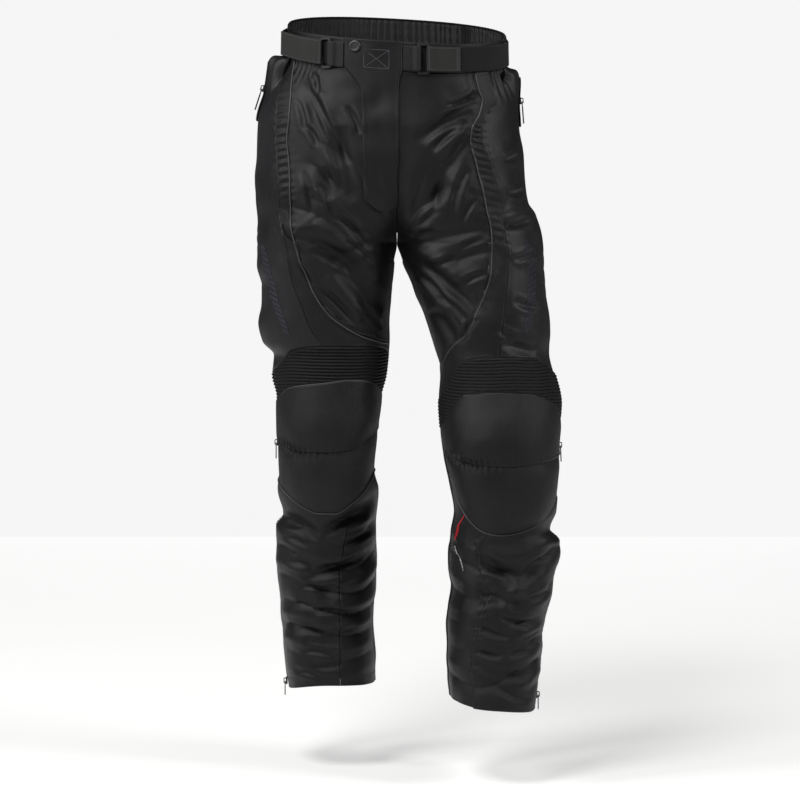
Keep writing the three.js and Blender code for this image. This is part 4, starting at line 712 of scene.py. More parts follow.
def math_node(tree, operation, first, second=None):
    node = tree.nodes.new("ShaderNodeMath")
    node.operation = operation
    for slot, value in zip(node.inputs, (first, second)):
        if isinstance(value, bpy.types.NodeSocket):
            tree.links.new(value, slot)
        elif value is not None:
            slot.default_value = value
    return node.outputs[0]


def noise(tree, vector, scale, detail=3.0):
    node = add_node(tree, "ShaderNodeTexNoise", Scale=scale, Detail=detail)
    tree.links.new(vector, node.inputs["Vector"])
    return node.outputs["Fac"]


def ramp(tree, value, low, high, start=0.3, end=0.7):
    node = tree.nodes.new("ShaderNodeMapRange")
    tree.links.new(value, node.inputs["Value"])
    for socket, number in (("From Min", start), ("From Max", end), ("To Min", low), ("To Max", high)):
        node.inputs[socket].default_value = number
    return node.outputs["Result"]


def bump_node(tree, shader, height, distance, strength):
    node = add_node(tree, "ShaderNodeBump", Distance=distance, Strength=strength)
    tree.links.new(height, node.inputs["Height"])
    tree.links.new(node.outputs["Normal"], shader.inputs["Normal"])


# %% Woven cloth
def woven(name, dark, light, roughness, pitch, strength, sheen):
    look, tree, shader = new_look(name, light, roughness, Sheen_Weight=sheen, Sheen_Roughness=0.45)
    shader.inputs["Specular IOR Level"].default_value = 0.22
    place = tree.nodes.new("ShaderNodeTexCoord")
    split = tree.nodes.new("ShaderNodeSeparateXYZ")
    tree.links.new(place.outputs["UV"], split.inputs[0])
    turn = 2 * math.pi / (2 * pitch * MM)
    warp = math_node(tree, "SINE", math_node(tree, "MULTIPLY", split.outputs["X"], turn))
    weft = math_node(tree, "SINE", math_node(tree, "MULTIPLY", split.outputs["Y"], turn))
    over = math_node(tree, "MULTIPLY", warp, weft)
    slow = noise(tree, place.outputs["Object"], 9.0)
    grain = noise(tree, place.outputs["Object"], 420.0, 2.0)
    slub = noise(tree, place.outputs["Object"], 150.0, 4.0)
    mixed = math_node(tree, "ADD", math_node(tree, "MULTIPLY", over, 0.5), grain)
    mixed = math_node(tree, "ADD", mixed, slub)
    bump_node(tree, shader, mixed, 0.35 * MM, strength)
    blend = tree.nodes.new("ShaderNodeMix")
    blend.data_type = "RGBA"
    blend.inputs["A"].default_value = (*dark, 1)
    blend.inputs["B"].default_value = (*light, 1)
    worn = ramp(tree, math_node(tree, "ADD", slow, grain), 0.0, 1.0, 0.75, 1.25)
    tree.links.new(worn, blend.inputs["Factor"])
    tree.links.new(blend.outputs["Result"], shader.inputs["Base Color"])
    tree.links.new(ramp(tree, slow, roughness - 0.06, roughness + 0.08), shader.inputs["Roughness"])
    return look


# dark colour, light colour, roughness, yarn pitch in millimetres, bump strength, sheen
CLOTH = woven(
    "black woven polyester", (0.002, 0.002, 0.0022), (0.0052, 0.005, 0.0055), 0.48, 0.9, 0.5, 0.01
)
SIDE_CLOTH = woven(
    "black smooth side cloth", (0.0042, 0.0042, 0.0048), (0.0095, 0.0093, 0.0107), 0.45, 0.6, 0.3, 0.01
)
PATCH_CLOTH = woven(
    "black coarse knee cloth", (0.0026, 0.0026, 0.0028), (0.006, 0.0057, 0.0062), 0.52, 1.2, 0.7, 0.01
)
RIB_CLOTH = woven(
    "black ribbed stretch cloth", (0.0013, 0.0013, 0.0014), (0.0032, 0.0032, 0.0034), 0.7, 0.7, 0.4, 0.0
)
print("woven looks:", [m.name for m in bpy.data.materials if m.name.startswith("black")])


# %% Other finishes
def plain_look(name, colour, roughness, distance, scale, strength, **sockets):
    look, tree, shader = new_look(name, colour, roughness, **sockets)
    place = tree.nodes.new("ShaderNodeTexCoord")
    fine = noise(tree, place.outputs["Object"], scale, 3.0)
    slow = noise(tree, place.outputs["Object"], 22.0, 2.0)
    bump_node(tree, shader, fine, distance * MM, strength)
    tree.links.new(ramp(tree, slow, roughness - 0.08, roughness + 0.1), shader.inputs["Roughness"])
    return look


def thread_look(name, colour, gloss=0.2):
    return plain_look(name, colour, 0.5, 0.1, 1500.0, 0.4, Specular_IOR_Level=gloss)


# colour, roughness, bump height in millimetres, noise scale, bump strength
PIPING_LOOK = plain_look(
    "grey reflective piping", (0.034, 0.035, 0.038), 0.5, 0.15, 900.0, 0.4, Specular_IOR_Level=0.3
)
THREAD = thread_look("black thread", (0.014, 0.014, 0.015))
GREY_THREAD = thread_look("dull blue-grey thread", (0.02, 0.0205, 0.026), 0.15)
PALE_THREAD = thread_look("pale grey thread", (0.06, 0.061, 0.07))
RED_THREAD = thread_look("red thread", (0.32, 0.012, 0.016))
WHITE_THREAD = thread_look("white thread", (0.3, 0.3, 0.3))
WEBBING = woven("dark webbing", (0.004, 0.004, 0.004), (0.009, 0.009, 0.0089), 0.65, 1.3, 0.6, 0.03)
HOOK_SIDE = plain_look("hook strip", (0.018, 0.0181, 0.0172), 0.8, 0.5, 700.0, 0.9, Specular_IOR_Level=0.15)
FUZZ = {"Specular_IOR_Level": 0.1, "Sheen_Weight": 0.06}
LOOP_SIDE = plain_look("fuzzy loop strip", (0.0085, 0.0085, 0.0085), 0.95, 0.9, 420.0, 1.0, **FUZZ)
RING_LOOK = plain_look(
    "dark moulded ring", (0.014, 0.014, 0.0145), 0.42, 0.05, 600.0, 0.25, Specular_IOR_Level=0.3
)
STUD_METAL = plain_look("grey coated metal", (0.05, 0.05, 0.052), 0.4, 0.05, 800.0, 0.2, Metallic=0.9)
METAL = plain_look("blackened metal", (0.018, 0.018, 0.019), 0.5, 0.05, 800.0, 0.2, Metallic=0.6)
# near-black sheet laid in the pocket mouths: painted shade, darker than any cloth
POCKET_SHADE_LOOK = plain_look(
    "black pocket lining", (0.0012, 0.0012, 0.0012), 0.9, 0.2, 600.0, 0.5, Specular_IOR_Level=0.05
)
RUBBER = plain_look(
    "matte black rubber", (0.010, 0.010, 0.011), 0.6, 0.1, 500.0, 0.3, Specular_IOR_Level=0.25
)
print("finishes:", len(bpy.data.materials))

# %% [markdown]
# ## The thigh
# The front panel runs from the waistband to the piping. A narrow strip beside it is sewn with a little
# too much cloth, so it puckers across its width. The outer panel carries the hand pocket. Each is one cut
# piece.


# %% Puckers along a seam
def puckers(leg, line, pitch, height, reach, top, bottom, seed, side=0):
    """Small ridges that start at a seam and fade within reach millimetres of it."""

    def raised(at, z):
        point = surface(leg, at, z)
        away = (at - line(z)) * girth(leg, z)
        uneven = waves(point, (400, 400, 60), seed, 5)
        phase = 2 * np.pi * z / pitch + 1.9 * uneven
        near = bump(away / reach)
        if side:
            near = near * smooth(side * away, -1, 2)
        strength = smooth(z, bottom, bottom + 30) * smooth(-z, -top, -top + 20)
        return height * near * strength * np.sin(phase) * (0.6 + 0.4 * np.sin(z / 41 + seed))

    return raised


def together(*parts):
    return lambda at, z: sum(part(at, z) for part in parts)


def strip_puckers(leg, top, bottom, pitch, height):
    def raised(at, z):
        left, right = leg.piping_line(z), leg.seam_line(z)
        across = np.clip((at - left) / np.maximum(right - left, 0.01), 0, 1)
        point = surface(leg, at, z)
        lean = 5 * (across - 0.5) + 1.6 * waves(point, (300, 300, 50), 61, 5)
        phase = 2 * np.pi * (z + lean) / pitch
        body = np.sin(np.pi * across) ** 0.7
        strength = smooth(z, bottom, bottom + 40) * smooth(-z, -top, -top + 24)
        uneven = 0.75 + 0.25 * np.sin(z / 33)
        return height * body * strength * uneven * (np.sin(phase) + 0.3 * np.sin(2 * phase))

    return raised


# %% Front, strip, side and back of both thighs
def side_gathers(leg):
    def raised(at, z):
        along = at * girth(leg, -40.0) + 2 * waves(surface(leg, at, z), (90, 90, 300), 67, 5)
        return 2.2 * np.cos(2 * np.pi * along / 19) * smooth(z, -84, -26)

    return raised


def waist_gathers(leg):
    def raised(at, z):
        along = at * girth(leg, -40.0) + 2 * waves(surface(leg, at, z), (90, 90, 300), 69, 5)
        comb = np.cos(2 * np.pi * along / 12) + 0.4 * np.cos(2 * np.pi * along / 31)
        return 1.1 * comb * smooth(z, -76, -25) * smooth(at, 0.17, 0.25)

    return raised


def strip_cells(leg, columns, rows):
    """The strip's left edge follows the piping round its corner and on down the inseam to the ribs."""
    top = BAND_BOTTOM - EDGE_GAP / 2
    lowest = float(leg.rib_top_line(0.0)) + EDGE_GAP / 2
    edge_z = np.concatenate([np.arange(top, leg.piping_end, -0.5), np.linspace(leg.piping_end, lowest, 60)])
    edge_at = leg.piping_line(edge_z)
    steps = np.hypot(np.diff(edge_at) * girth(leg, edge_z[1:]), np.diff(edge_z))
    along = np.concatenate([[0], np.cumsum(steps)])
    left_z = np.interp(rows * along[-1], along, edge_z)[:, None]
    left_at = np.interp(rows * along[-1], along, edge_at)[:, None]
    seam_end = float(leg.rib_top_line(float(leg.seam_line(-460.0)))) + EDGE_GAP / 2
    right_z = lerp(top, seam_end, rows)[:, None]
    right_at = leg.seam_line(right_z)
    gap = SEAM_GAP / 2 / girth(leg, right_z)
    at = lerp(left_at + gap, right_at - gap, columns[None, :])
    z = lerp(left_z, right_z, columns[None, :])
    last = lerp(lowest, seam_end, columns)[None, :]
    return at, z + rows[:, None] ** 6 * (leg.rib_top_line(at) + EDGE_GAP / 2 - last)


for leg in LEGS:
    ruched = (-60, -260) if leg is RIGHT else (-100, -330)
    front = SimpleNamespace(
        left=INSEAM,
        right=lambda z: np.maximum(leg.piping_line(z), leg.tip_share),
        top=WAIST_LINE,
        bottom=lambda at: lerp(leg.piping_end, leg.tip_z, np.clip(at / leg.tip_share, 0, 1)) + 1,
    )
    piping_pucker = puckers(leg, leg.piping_line, 13, 0.7, 9, -40, -330, 71)
    cut_piece(leg, "front_thigh", front, CLOTH, together(piping_pucker, waist_gathers(leg)))
    strip = SimpleNamespace(
        left=leg.piping_line,
        right=leg.seam_line,
        top=WAIST_LINE,
        bottom=leg.rib_top_line,
        cells=lambda columns, rows: strip_cells(leg, columns, rows),
    )
    ruffles = strip_puckers(leg, *ruched, 12.5, 1.5)
    cut_piece(leg, "side_front", strip, CLOTH, ruffles, step=2.8)
    side = SimpleNamespace(left=leg.seam_line, right=SIDE_LINE, top=WAIST_LINE, bottom=leg.rib_top_line)
    seam_pucker = puckers(leg, leg.seam_line, 15, 0.8, 10, -50, -330, 73)
    cut_piece(leg, "side_outer", side, SIDE_CLOTH, together(side_gathers(leg), seam_pucker))
    seat_pucker = puckers(leg, MIDDLE_BACK, 14, 0.7, 12, -60, -300, 75)
    backs = (
        ("seat", WAIST_LINE, constant(SEAT_SEAM)),
        ("back_thigh", constant(SEAT_SEAM), constant(KNEE_SEAM)),
        ("back_calf", constant(KNEE_SEAM), leg.hem_line),
    )
    for name, top, bottom in backs:
        back = SimpleNamespace(left=SIDE_LINE, right=MIDDLE_BACK, top=top, bottom=bottom)
        cut_piece(leg, name, back, CLOTH, seat_pucker, step=4.2)

# %% [markdown]
# ## Knees
# Above each knee a ribbed stretch panel lets the leg bend. Its ribs are folds of the knit, round on top
# and deep between, and a little uneven. Below it lies the knee patch: two halves that meet in a seam
# across the middle, with small gathers where the seam takes up their fullness.


# %% Ribs and knee patches
def rib_relief(leg):
    highest = max(float(leg.rib_top_line(at)) for at in np.linspace(0, SIDE_SEAM, 60))

    def raised(at, z):
        point = surface(leg, at, z)
        wander = 0.5 * waves(point, (60, 60, 400), 81, 5)
        phase = (highest - z + wander) / RIB_PITCH * 2 * np.pi
        edge = np.minimum(leg.rib_top_line(at) - z, z - leg.patch_top_line(at))
        swell = 1 - np.abs(np.cos(phase / 2)) ** 3
        return (2.1 * swell - 0.6) * smooth(edge, 0.5, 3.5)

    return raised


def crown(top, bottom, height):
    def raised(at, z):
        share = np.clip((top(at) - z) / (top(at) - bottom(at)), 0, 1)
        spread = 1 - np.abs(2 * np.clip(at / ZIP_FRONT_EDGE, 0, 1) - 1) ** 3
        return height * (1 - np.abs(2 * share - 1) ** 2.5) * spread

    return raised


def middle_gathers(leg, upwards):
    def raised(at, z):
        away = (z - leg.patch_middle_line(at)) * (1 if upwards else -1)
        along = at * girth(leg, z)
        uneven = waves(surface(leg, at, z), (50, 50, 300), 83, 5)
        where = bump((at - leg.gathered) / 0.08) + 0.25
        comb = np.sin(2 * np.pi * along / 9.5 + 1.4 * uneven)
        return where * 2.2 * comb * bump(away / 10) * smooth(away, -0.5, 2.5)

    return raised


for leg in LEGS:
    ribs = SimpleNamespace(left=INSEAM, right=SIDE_LINE, top=leg.rib_top_line, bottom=leg.patch_top_line)
    cut_piece(leg, "knee_ribs", ribs, RIB_CLOTH, rib_relief(leg), step=1.15, roll=0.4)
    halves = (
        ("upper", leg.patch_top_line, leg.patch_middle_line, True),
        ("lower", leg.patch_middle_line, leg.patch_bottom_line, False),
    )
    for half, top, bottom, upwards in halves:
        patch = SimpleNamespace(left=INSEAM, right=ZIP_LINE, top=top, bottom=bottom)
        shape = together(crown(top, bottom, 5.0), middle_gathers(leg, upwards))
        cut_piece(leg, f"knee_patch_{half}", patch, PATCH_CLOTH, shape, step=3.0)

# %% [markdown]
# ## Lower legs
# The front and the inner panel meet in a seam that puckers along its whole length, and a long zip closes
# the leg on its outer side. The zip is a tape with two rows of teeth that hold each other.

# %% Shin, inner calf and zip tape
for leg in LEGS:
    calf_pucker = puckers(leg, leg.calf_line, 11, 1.0, 9, -660, -1000, 91)
    below = {"top": leg.patch_bottom_line, "bottom": leg.hem_line}
    shin = SimpleNamespace(left=leg.calf_line, right=ZIP_LINE, **below)
    cut_piece(leg, "shin", shin, CLOTH, calf_pucker)
    inner = SimpleNamespace(left=INSEAM, right=leg.calf_line, **below)
    cut_piece(leg, "calf_inner", inner, CLOTH, calf_pucker)
    tape = SimpleNamespace(left=ZIP_LINE, right=SIDE_LINE, top=leg.patch_top_line, bottom=leg.hem_line)
    ridge = lambda at, z: 0.9 * bump((at - ZIP_MIDDLE) / 0.006) - 0.4
    cut_piece(leg, "leg_zip", tape, WEBBING, ridge, step=3.0)

# %% [markdown]
# ## The waistband
# The two fronts are plain. The back is drawn in by elastic, so its cloth stands in upright gathers, deep
# and close. It crosses the middle as one piece. Nothing fills the waist, so its inner face shows over the
# front.


# %% Band grids
def band_point(leg, at, z, out):
    point = surface(leg, at, z)
    normal = outward(leg, at, z)
    placed = point + normal * np.asarray(out + 0 * at)[..., None]
    placed[..., 2] += band_tilt(point, z)
    return placed


def band_piece(name, points, nodes, look=CLOTH, wall=BAND_CLOTH):
    middle = points[points.shape[0] // 2, points.shape[1] // 2]
    away = np.array([middle[0], middle[1], 0.0])
    piece = lay_grid(name, points, away)
    thicken(piece, wall)
    settle(piece, look, nodes)
    print(f"{name}: {points.shape[0]} x {points.shape[1]} lines")


BAND_SPLIT = 0.42
BAND_HEIGHT = BAND_TOP - BAND_BOTTOM
band_rows = np.array([0, 0.6, 1.4, 2.4, 4, 8, 13, 18, 22.5, 27, 32, 37, 41, 42.6, 43.6, 44.4, 45.0])
band_z = BAND_TOP - band_rows[:, None]
band_roll = -1.2 * bump(np.minimum(band_rows, BAND_HEIGHT - band_rows) / 0.8)[:, None]
for leg in LEGS:
    shares = grid_lines(float(girth(leg, 0.0)) * BAND_SPLIT, 4.0)
    at = lerp(0.0003, BAND_SPLIT - 0.0002, shares)[None, :] + 0 * band_z
    soft = 0.35 * waves(surface(leg, at, band_z + 0 * at), (40, 40, 60), 41)
    points = band_point(leg, at, band_z + 0 * at, band_roll + soft)
    band_piece(f"waistband_front_{leg.name}_cloth", points, [f"waistband_front_{leg.name}"])


def gather(leg, at, z):
    point = surface(leg, at, z)
    along = at * float(girth(leg, 0.0))
    uneven = waves(point, (35, 35, 240), 43, 6)
    phase = 2 * np.pi * along / 8.2 + 1.1 * uneven
    drawn = smooth(at, 0.5, 0.6)
    tunnels = 0.8 + 0.2 * np.cos(2 * np.pi * z / 15)
    return drawn * tunnels * (1.25 * np.sin(phase) - 0.9)


half = lerp(BAND_SPLIT + 0.0002, 1.0, grid_lines(float(girth(RIGHT, 0.0)) * (1 - BAND_SPLIT), 1.6))
columns = []
for leg, shares in ((RIGHT, half), (LEFT, half[::-1][1:])):
    at = shares[None, :] + 0 * band_z
    z = band_z + 0 * at
    columns.append(band_point(leg, at, z, gather(leg, at, z) + band_roll))
band_piece("waistband_back_cloth", np.concatenate(columns, 1), ["waistband_back"])

# %% [markdown]
# ## Fly flap and closing tab
# The tab and the flap are one piece of doubled cloth over the middle front. It lies on the panels, so its
# points are theirs, moved out. One table gives its left and its right edge by height, another its hem.

# %% Flap outline and grid
FLAP_EDGES = [
    (23, -79, 8), (-20, -79, 8), (-34, -68, 4), (-48, -58, 3), (-64, -53, 3), (-260, -50, 1),
]
FLAP_HEM = [(0, -240), (0.55, -258), (1, -249)]
FLAP_OUT = 3.6
FLAP_TOP = 23.0
FLAP_WIDTH, FLAP_LENGTH = 55, 285
FORWARDS = np.array([0, -1.0, 0])
flap_left, flap_right = table_curve(FLAP_EDGES, 1), table_curve(FLAP_EDGES, 2)
flap_hem = table_curve(FLAP_HEM)


def front_point(x, z, out):
    placed = np.empty(x.shape + (3,))
    for leg in LEGS:
        mine = (x < 0) if leg is RIGHT else (x >= 0)
        at = front_share(leg, z, np.abs(x))
        point = surface(leg, at, z)
        normal = outward(leg, at, z)
        height = np.where(z > BAND_BOTTOM, 0, relief(leg, at, z, point, normal)) + out
        full = point + normal * height[..., None]
        full[..., 2] += band_tilt(point, z)
        placed[mine] = full[mine]
    return placed


across = grid_lines(FLAP_WIDTH, 3.0)
down = grid_lines(FLAP_LENGTH, 3.2)
share_across, share_down = np.meshgrid(across, down)
flap_z = lerp(FLAP_TOP, flap_hem(share_across), share_down)
flap_x = lerp(flap_left(flap_z), flap_right(flap_z), share_across)
flat_flap = np.stack([flap_x, 0 * flap_x, flap_z], -1)
CUT_AREA["fly_flap_cloth"] = smooth_area(flat_flap)
flap_wave = 0.35 * waves(flat_flap, (60, 60, 60), 47)
welt = edge_roll(across, down, FLAP_WIDTH, FLAP_LENGTH, 1.2)
flap_points = front_point(flap_x, flap_z, FLAP_OUT + welt + flap_wave)
flap = lay_grid("fly_flap_cloth", flap_points, FORWARDS)
thicken(flap, 2.0)
settle(flap, CLOTH, ["fly_flap"])
print("fly flap:", flap_points.shape)

# %% Pocket mouths: a near-black sheet in each gaping pocket, painted shade for its dark inside
for leg in LEGS:
    mouth_at, mouth_z, depth, half_at, half_z = leg.hollow
    u, v = np.meshgrid(np.linspace(-1, 1, 25), np.linspace(1, -1, 33))
    at = mouth_at + half_at * (u * np.sqrt(1 - v**2 / 2) + 0.25 * v)
    z = mouth_z + half_z * v * np.sqrt(1 - u**2 / 2)
    direction = outward(leg, np.array(mouth_at), np.array(mouth_z))
    mouth = lay_grid(f"{leg.name}_pocket_mouth", cloth_point(leg, at, z, 0.35), direction)
    thicken(mouth, 0.3)
    # the sheet paints the shade inside the pocket mouth
    settle(mouth, POCKET_SHADE_LOOK)

# %% [markdown]
# ## Corded piping
# A cord sewn into a strip of grey reflective fabric lies in the seam beside the thigh panel and round the
# knee patch. A curve with a round bevel is its natural form. It is made a mesh so that it keeps its
# place.


# %% Beads along a path
def round_curve(name, points, radius, resolution, closed=False):
    """Makes a mesh of a round bar that follows the points, in millimetres, and leaves it selected."""
    data = bpy.data.curves.new(name, "CURVE")
    data.dimensions = "3D"
    data.bevel_depth = radius * MM
    data.bevel_resolution = resolution
    data.use_fill_caps = not closed
    spline = data.splines.new("POLY")
    spline.points.add(len(points) - 1)
    for knot, point in zip(spline.points, points * MM):
        knot.co = (*point, 1)
    spline.use_cyclic_u = closed
    piece = bpy.data.objects.new(name, data)
    bpy.context.scene.collection.objects.link(piece)
    bpy.context.view_layer.objects.active = piece
    piece.select_set(True)
    bpy.ops.object.convert(target="MESH")
    return bpy.context.object


def bead(node, points, radius):
    piece = round_curve(f"{node}_bead", points, radius, 2)
    shade_and_leave(60)
    settle(piece, PIPING_LOOK, [node])


def running_length(points):
    return np.concatenate([[0], np.cumsum(np.linalg.norm(np.diff(points, axis=0), axis=1))])


def path_at(where, along, points):
    return np.stack([np.interp(where, along, points[:, k]) for k in range(points.shape[1])], -1)


def thinned(points, step):
    """Follows a fine path with fewer points, about a step apart, from its first point to its last."""
    along = running_length(points)
    count = max(2, int(along[-1] / step))
    return path_at(np.linspace(0, along[-1], count + 1), along, points)


# radii of the cord in the piping
THIGH_CORD, KNEE_CORD = 1.15, 1.1
for leg in LEGS:
    z = np.arange(BAND_BOTTOM - 3, leg.piping_end + 2, -1.5)
    at = np.maximum(0.012, leg.piping_line(z))
    bead(f"{leg.name}_thigh_piping", thinned(cloth_point(leg, at, z, 1.2), 5), THIGH_CORD)
    for edge, line in (("top", leg.patch_top_line), ("bottom", leg.patch_bottom_line)):
        at = np.linspace(0.015, ZIP_FRONT_EDGE - 0.012, 220)
        bead(f"{leg.name}_knee_piping_{edge}", thinned(cloth_point(leg, at, line(at), 0.9), 5), KNEE_CORD)
print("piping beads:", sum("bead" in name for name in PANELS))

# %% [markdown]
# ## Sewing
# A stitch is a small ball drawn out along the seam. One is modelled, and its points are copied along the
# rows of sewing. Hundreds share one mesh, so each stitch has only twenty faces.

# %% One stitch, copied along a line
bpy.ops.mesh.primitive_ico_sphere_add(subdivisions=1, radius=1)
stitch = bpy.context.object
stitch_points = np.array([v.co for v in stitch.data.vertices])
stitch_faces = [list(p.vertices) for p in stitch.data.polygons]
bpy.data.objects.remove(stitch)
ROWS = {}


def turned_copies(local, centres, along, outs):
    """Copies local points to every centre, turned so that X runs along and Z points out."""
    along = along / np.linalg.norm(along, axis=1, keepdims=True)
    across = np.cross(along, outs)
    across /= np.linalg.norm(across, axis=1, keepdims=True)
    up = np.cross(across, along)
    return (
        centres[:, None, :]
        + local[None, :, :1] * along[:, None, :]
        + local[None, :, 1:2] * across[:, None, :]
        + local[None, :, 2:] * up[:, None, :]
    )


def mesh_of_copies(name, blocks, faces, look, rounded):
    """Joins blocks of copied points, in millimetres, into one piece, each block with the same faces."""
    size = blocks.shape[1]
    joined = [[corner + i * size for corner in face] for i in range(len(blocks)) for face in faces]
    mesh = bpy.data.meshes.new(name)
    mesh.from_pydata((blocks * MM).reshape(-1, 3).tolist(), [], joined)
    if rounded:
        mesh.polygons.foreach_set("use_smooth", [True] * len(mesh.polygons))
    piece = bpy.data.objects.new(name, mesh)
    bpy.context.scene.collection.objects.link(piece)
    settle(piece, look)
    print(f"{name}: {len(blocks)} copies")


def place_stitches(group, centres, along, outs, size):
    """Adds stitches to a group: centres, directions along and out, and (length, width, height)."""
    local = stitch_points * np.array([value / 2 for value in size])
    ROWS.setdefault(group, []).append(turned_copies(local, centres, along, outs))


def sew(group, points, outs, pitch=3.6, size=(2.7, 0.75, 0.5)):
    along = running_length(points)
    where = np.arange(pitch / 2, along[-1], pitch)
    centres, ahead = path_at(where, along, points), path_at(where + 0.5, along, points)
    place_stitches(group, centres, ahead - centres + 1e-9, path_at(where, along, outs), size)


def sew_on_leg(group, leg, at, z, out=0.12, **sizes):
    sew(group, cloth_point(leg, at, z, out), outward(leg, at, z), **sizes)


# %% Topstitching of the legs
for leg in LEGS:
    group = f"{leg.name}_topstitch"
    top = BAND_BOTTOM - 4
    calf_top = -700 if leg is RIGHT else -730
    # line, distance beside it, top and bottom height
    upright = [
        (leg.piping_line, -4.2, top, leg.piping[-1][0] + 6),
        (leg.piping_line, 4.4, top, leg.piping[-4][0]),
        (leg.seam_line, -3, top, -440),
        (leg.seam_line, 3, top, -440),
        (leg.seam_line, 8, top, -440),
        (SIDE_LINE, -3, top, -480),
        (SIDE_LINE, 3, top, -1000),
        (ZIP_LINE, -3, -684, -994),
        (MIDDLE_BACK, -4, -60, -300),
        (leg.calf_line, -3, calf_top, -990),
        (leg.calf_line, 3, calf_top, -990),
    ]
    for line, offset, start, end in upright:
        z = np.arange(start, end, -2.0)
        sew_on_leg(group, leg, line(z) + offset / girth(leg, z), z)
    # line, distance above it, first and last share of the girth, height over the cloth
    level = [
        (leg.rib_top_line, 3.2, 0.03, SIDE_SEAM - 0.01, 0.12),
        (leg.patch_top_line, -4.0, 0.03, ZIP_FRONT_EDGE - 0.01, 0.7),
        (leg.patch_middle_line, 3.2, 0.01, ZIP_FRONT_EDGE - 0.01, 0.9),
        (leg.patch_middle_line, -3.2, 0.01, ZIP_FRONT_EDGE - 0.01, 0.9),
        (leg.patch_bottom_line, 4.0, 0.03, ZIP_FRONT_EDGE - 0.01, 0.7),
        (leg.patch_bottom_line, -4.4, 0.03, ZIP_FRONT_EDGE - 0.01, 0.12),
        (leg.hem_line, 14, 0.0, 1.0, 0.12),
        (leg.hem_line, 17, 0.0, 1.0, 0.12),
        (constant(SEAT_SEAM), 3, SIDE_SEAM + 0.01, 0.99, 0.12),
        (constant(KNEE_SEAM), 3, SIDE_SEAM + 0.01, 0.99, 0.12),
    ]
    for line, offset, start, end, out in level:
        at = np.linspace(start, end, 260)
        sew_on_leg(group, leg, at, line(at) + offset, out)

# %% Shaped rows that the photograph shows on the thighs
def front_row(group, leg, rows, step=2.0, **sizes):
    """A row through (distance from the middle plane, height) points on the front."""
    rows = np.array(rows, float)
    along = running_length(rows)
    curve_x = table_curve(list(zip(along, rows[:, 0])))
    curve_z = table_curve(list(zip(along, rows[:, 1])))
    where = np.arange(0, along[-1], step)
    z = curve_z(where)
    sew_on_leg(group, leg, front_share(leg, z, curve_x(where)), z, **sizes)


KNEE_YOKE = [(117, -193), (100, -232), (83, -249), (62, -267), (41, -290), (29, -314), (24, -346), (32, -363)]
INNER_YOKE = [(12, -300), (14, -316), (17, -328), (33, -345), (50, -367), (49, -404)]
POCKET_BAG = [(139, -150), (150, -196), (168, -222), (188, -236), (196, -240)]
POCKET_INNER = [(145, -150), (156, -190), (172, -212), (190, -226), (197, -230)]
for shift in (0, 4):
    front_row("right_topstitch", RIGHT, [(x + shift, z) for x, z in KNEE_YOKE])
front_row("left_topstitch", LEFT, INNER_YOKE)
front_row("left_topstitch", LEFT, POCKET_BAG)
front_row("left_topstitch", LEFT, POCKET_INNER)
front_row("right_topstitch", RIGHT, [(x + 34, z) for x, z in POCKET_BAG])

# %% Rows on the waistband and the flap
def band_row(group, leg, start, end, z, out=0.15, **sizes):
    at = np.linspace(start, end, 200)
    height = np.full(at.shape, float(z))
    sew(group, band_point(leg, at, height, out), outward(leg, at, height), **sizes)


for leg in LEGS:
    group = f"{leg.name}_topstitch"
    for z in (BAND_TOP - 4, BAND_BOTTOM + 4):
        band_row(group, leg, 0.004, BAND_SPLIT - 0.004, z)
    for z in (BAND_TOP - 5, 7.5, -7.5, BAND_BOTTOM + 5):
        band_row(group, leg, 0.56, 0.999, z, out=0.25)


def flap_row(points, group="flap_topstitch", **sizes):
    points = np.array(points, float)
    along = running_length(points)
    x, z = path_at(np.arange(0, along[-1], 2.0), along, points).T
    centre = front_point(x, z, FLAP_OUT + 0.15)
    sew(group, centre, np.tile(FORWARDS, (len(x), 1)), **sizes)


for inset in (4, 9):
    rows = [(float(flap_left(z)) + inset, z) for z in np.arange(18, -232, -4)]
    rows.append((float(flap_left(-240)) + inset + 3, -240 + inset * 0.4))
    rows += [(-22, -255 + inset), (-3 - inset, -247 + inset)]
    flap_row(rows)
flap_row([(float(flap_right(z)) - 4, z) for z in np.arange(18, -244, -4)])
flap_row([(x, 18.5) for x in np.arange(-75, 5, 4)])

# %% [markdown]
# ## Generic motifs
# Where a garment like this carries embroidery, a plain box with a cross reinforces the tab, rows of slanted
# satin bars run down the outer thighs, and a few red and white dashes mark the inner calf.

# %% Box with a cross on the tab
BOX = {"left": -50, "right": -12, "top": 8, "bottom": -20}
corners = [
    (BOX["left"], BOX["top"]), (BOX["right"], BOX["top"]), (BOX["right"], BOX["bottom"]),
    (BOX["left"], BOX["bottom"]), (BOX["left"], BOX["top"]),
]
grey = {"group": "tab_motif", "pitch": 2.2, "size": (2.4, 1.1, 0.6)}
flap_row(corners, **grey)
flap_row([corners[0], corners[2]], **grey)
flap_row([corners[1], corners[3]], **grey)


# %% Satin bars and dashes
THREAD_BIT = 3.5


def satin_bars(group, leg, rows, pitch, reach, lean, thread):
    rows = np.array(rows, float)
    along = running_length(rows)
    centres = np.arange(pitch / 2, along[-1], pitch)
    for centre in centres:
        fade = 0.45 + 0.55 * math.sin(math.pi * centre / along[-1]) ** 0.6
        half = reach * fade / 2
        for strand in np.arange(-pitch * 0.3, pitch * 0.31, thread):
            x, z = (float(np.interp(centre + strand, along, rows[:, k])) for k in (0, 1))
            bits = max(1, round(2 * half / THREAD_BIT))
            swing = np.linspace(-half, half, bits + 1)
            ends_z = z + lean * swing
            at = front_share(leg, ends_z, x + swing)
            points = cloth_point(leg, at, ends_z, 0.2)
            steps = np.diff(points, axis=0)
            outs = outward(leg, at, ends_z)[:-1]
            size = (float(np.linalg.norm(steps, axis=1).mean()) * 1.5, thread * 1.3, 0.8)
            place_stitches(group, (points[1:] + points[:-1]) / 2, steps, outs, size)


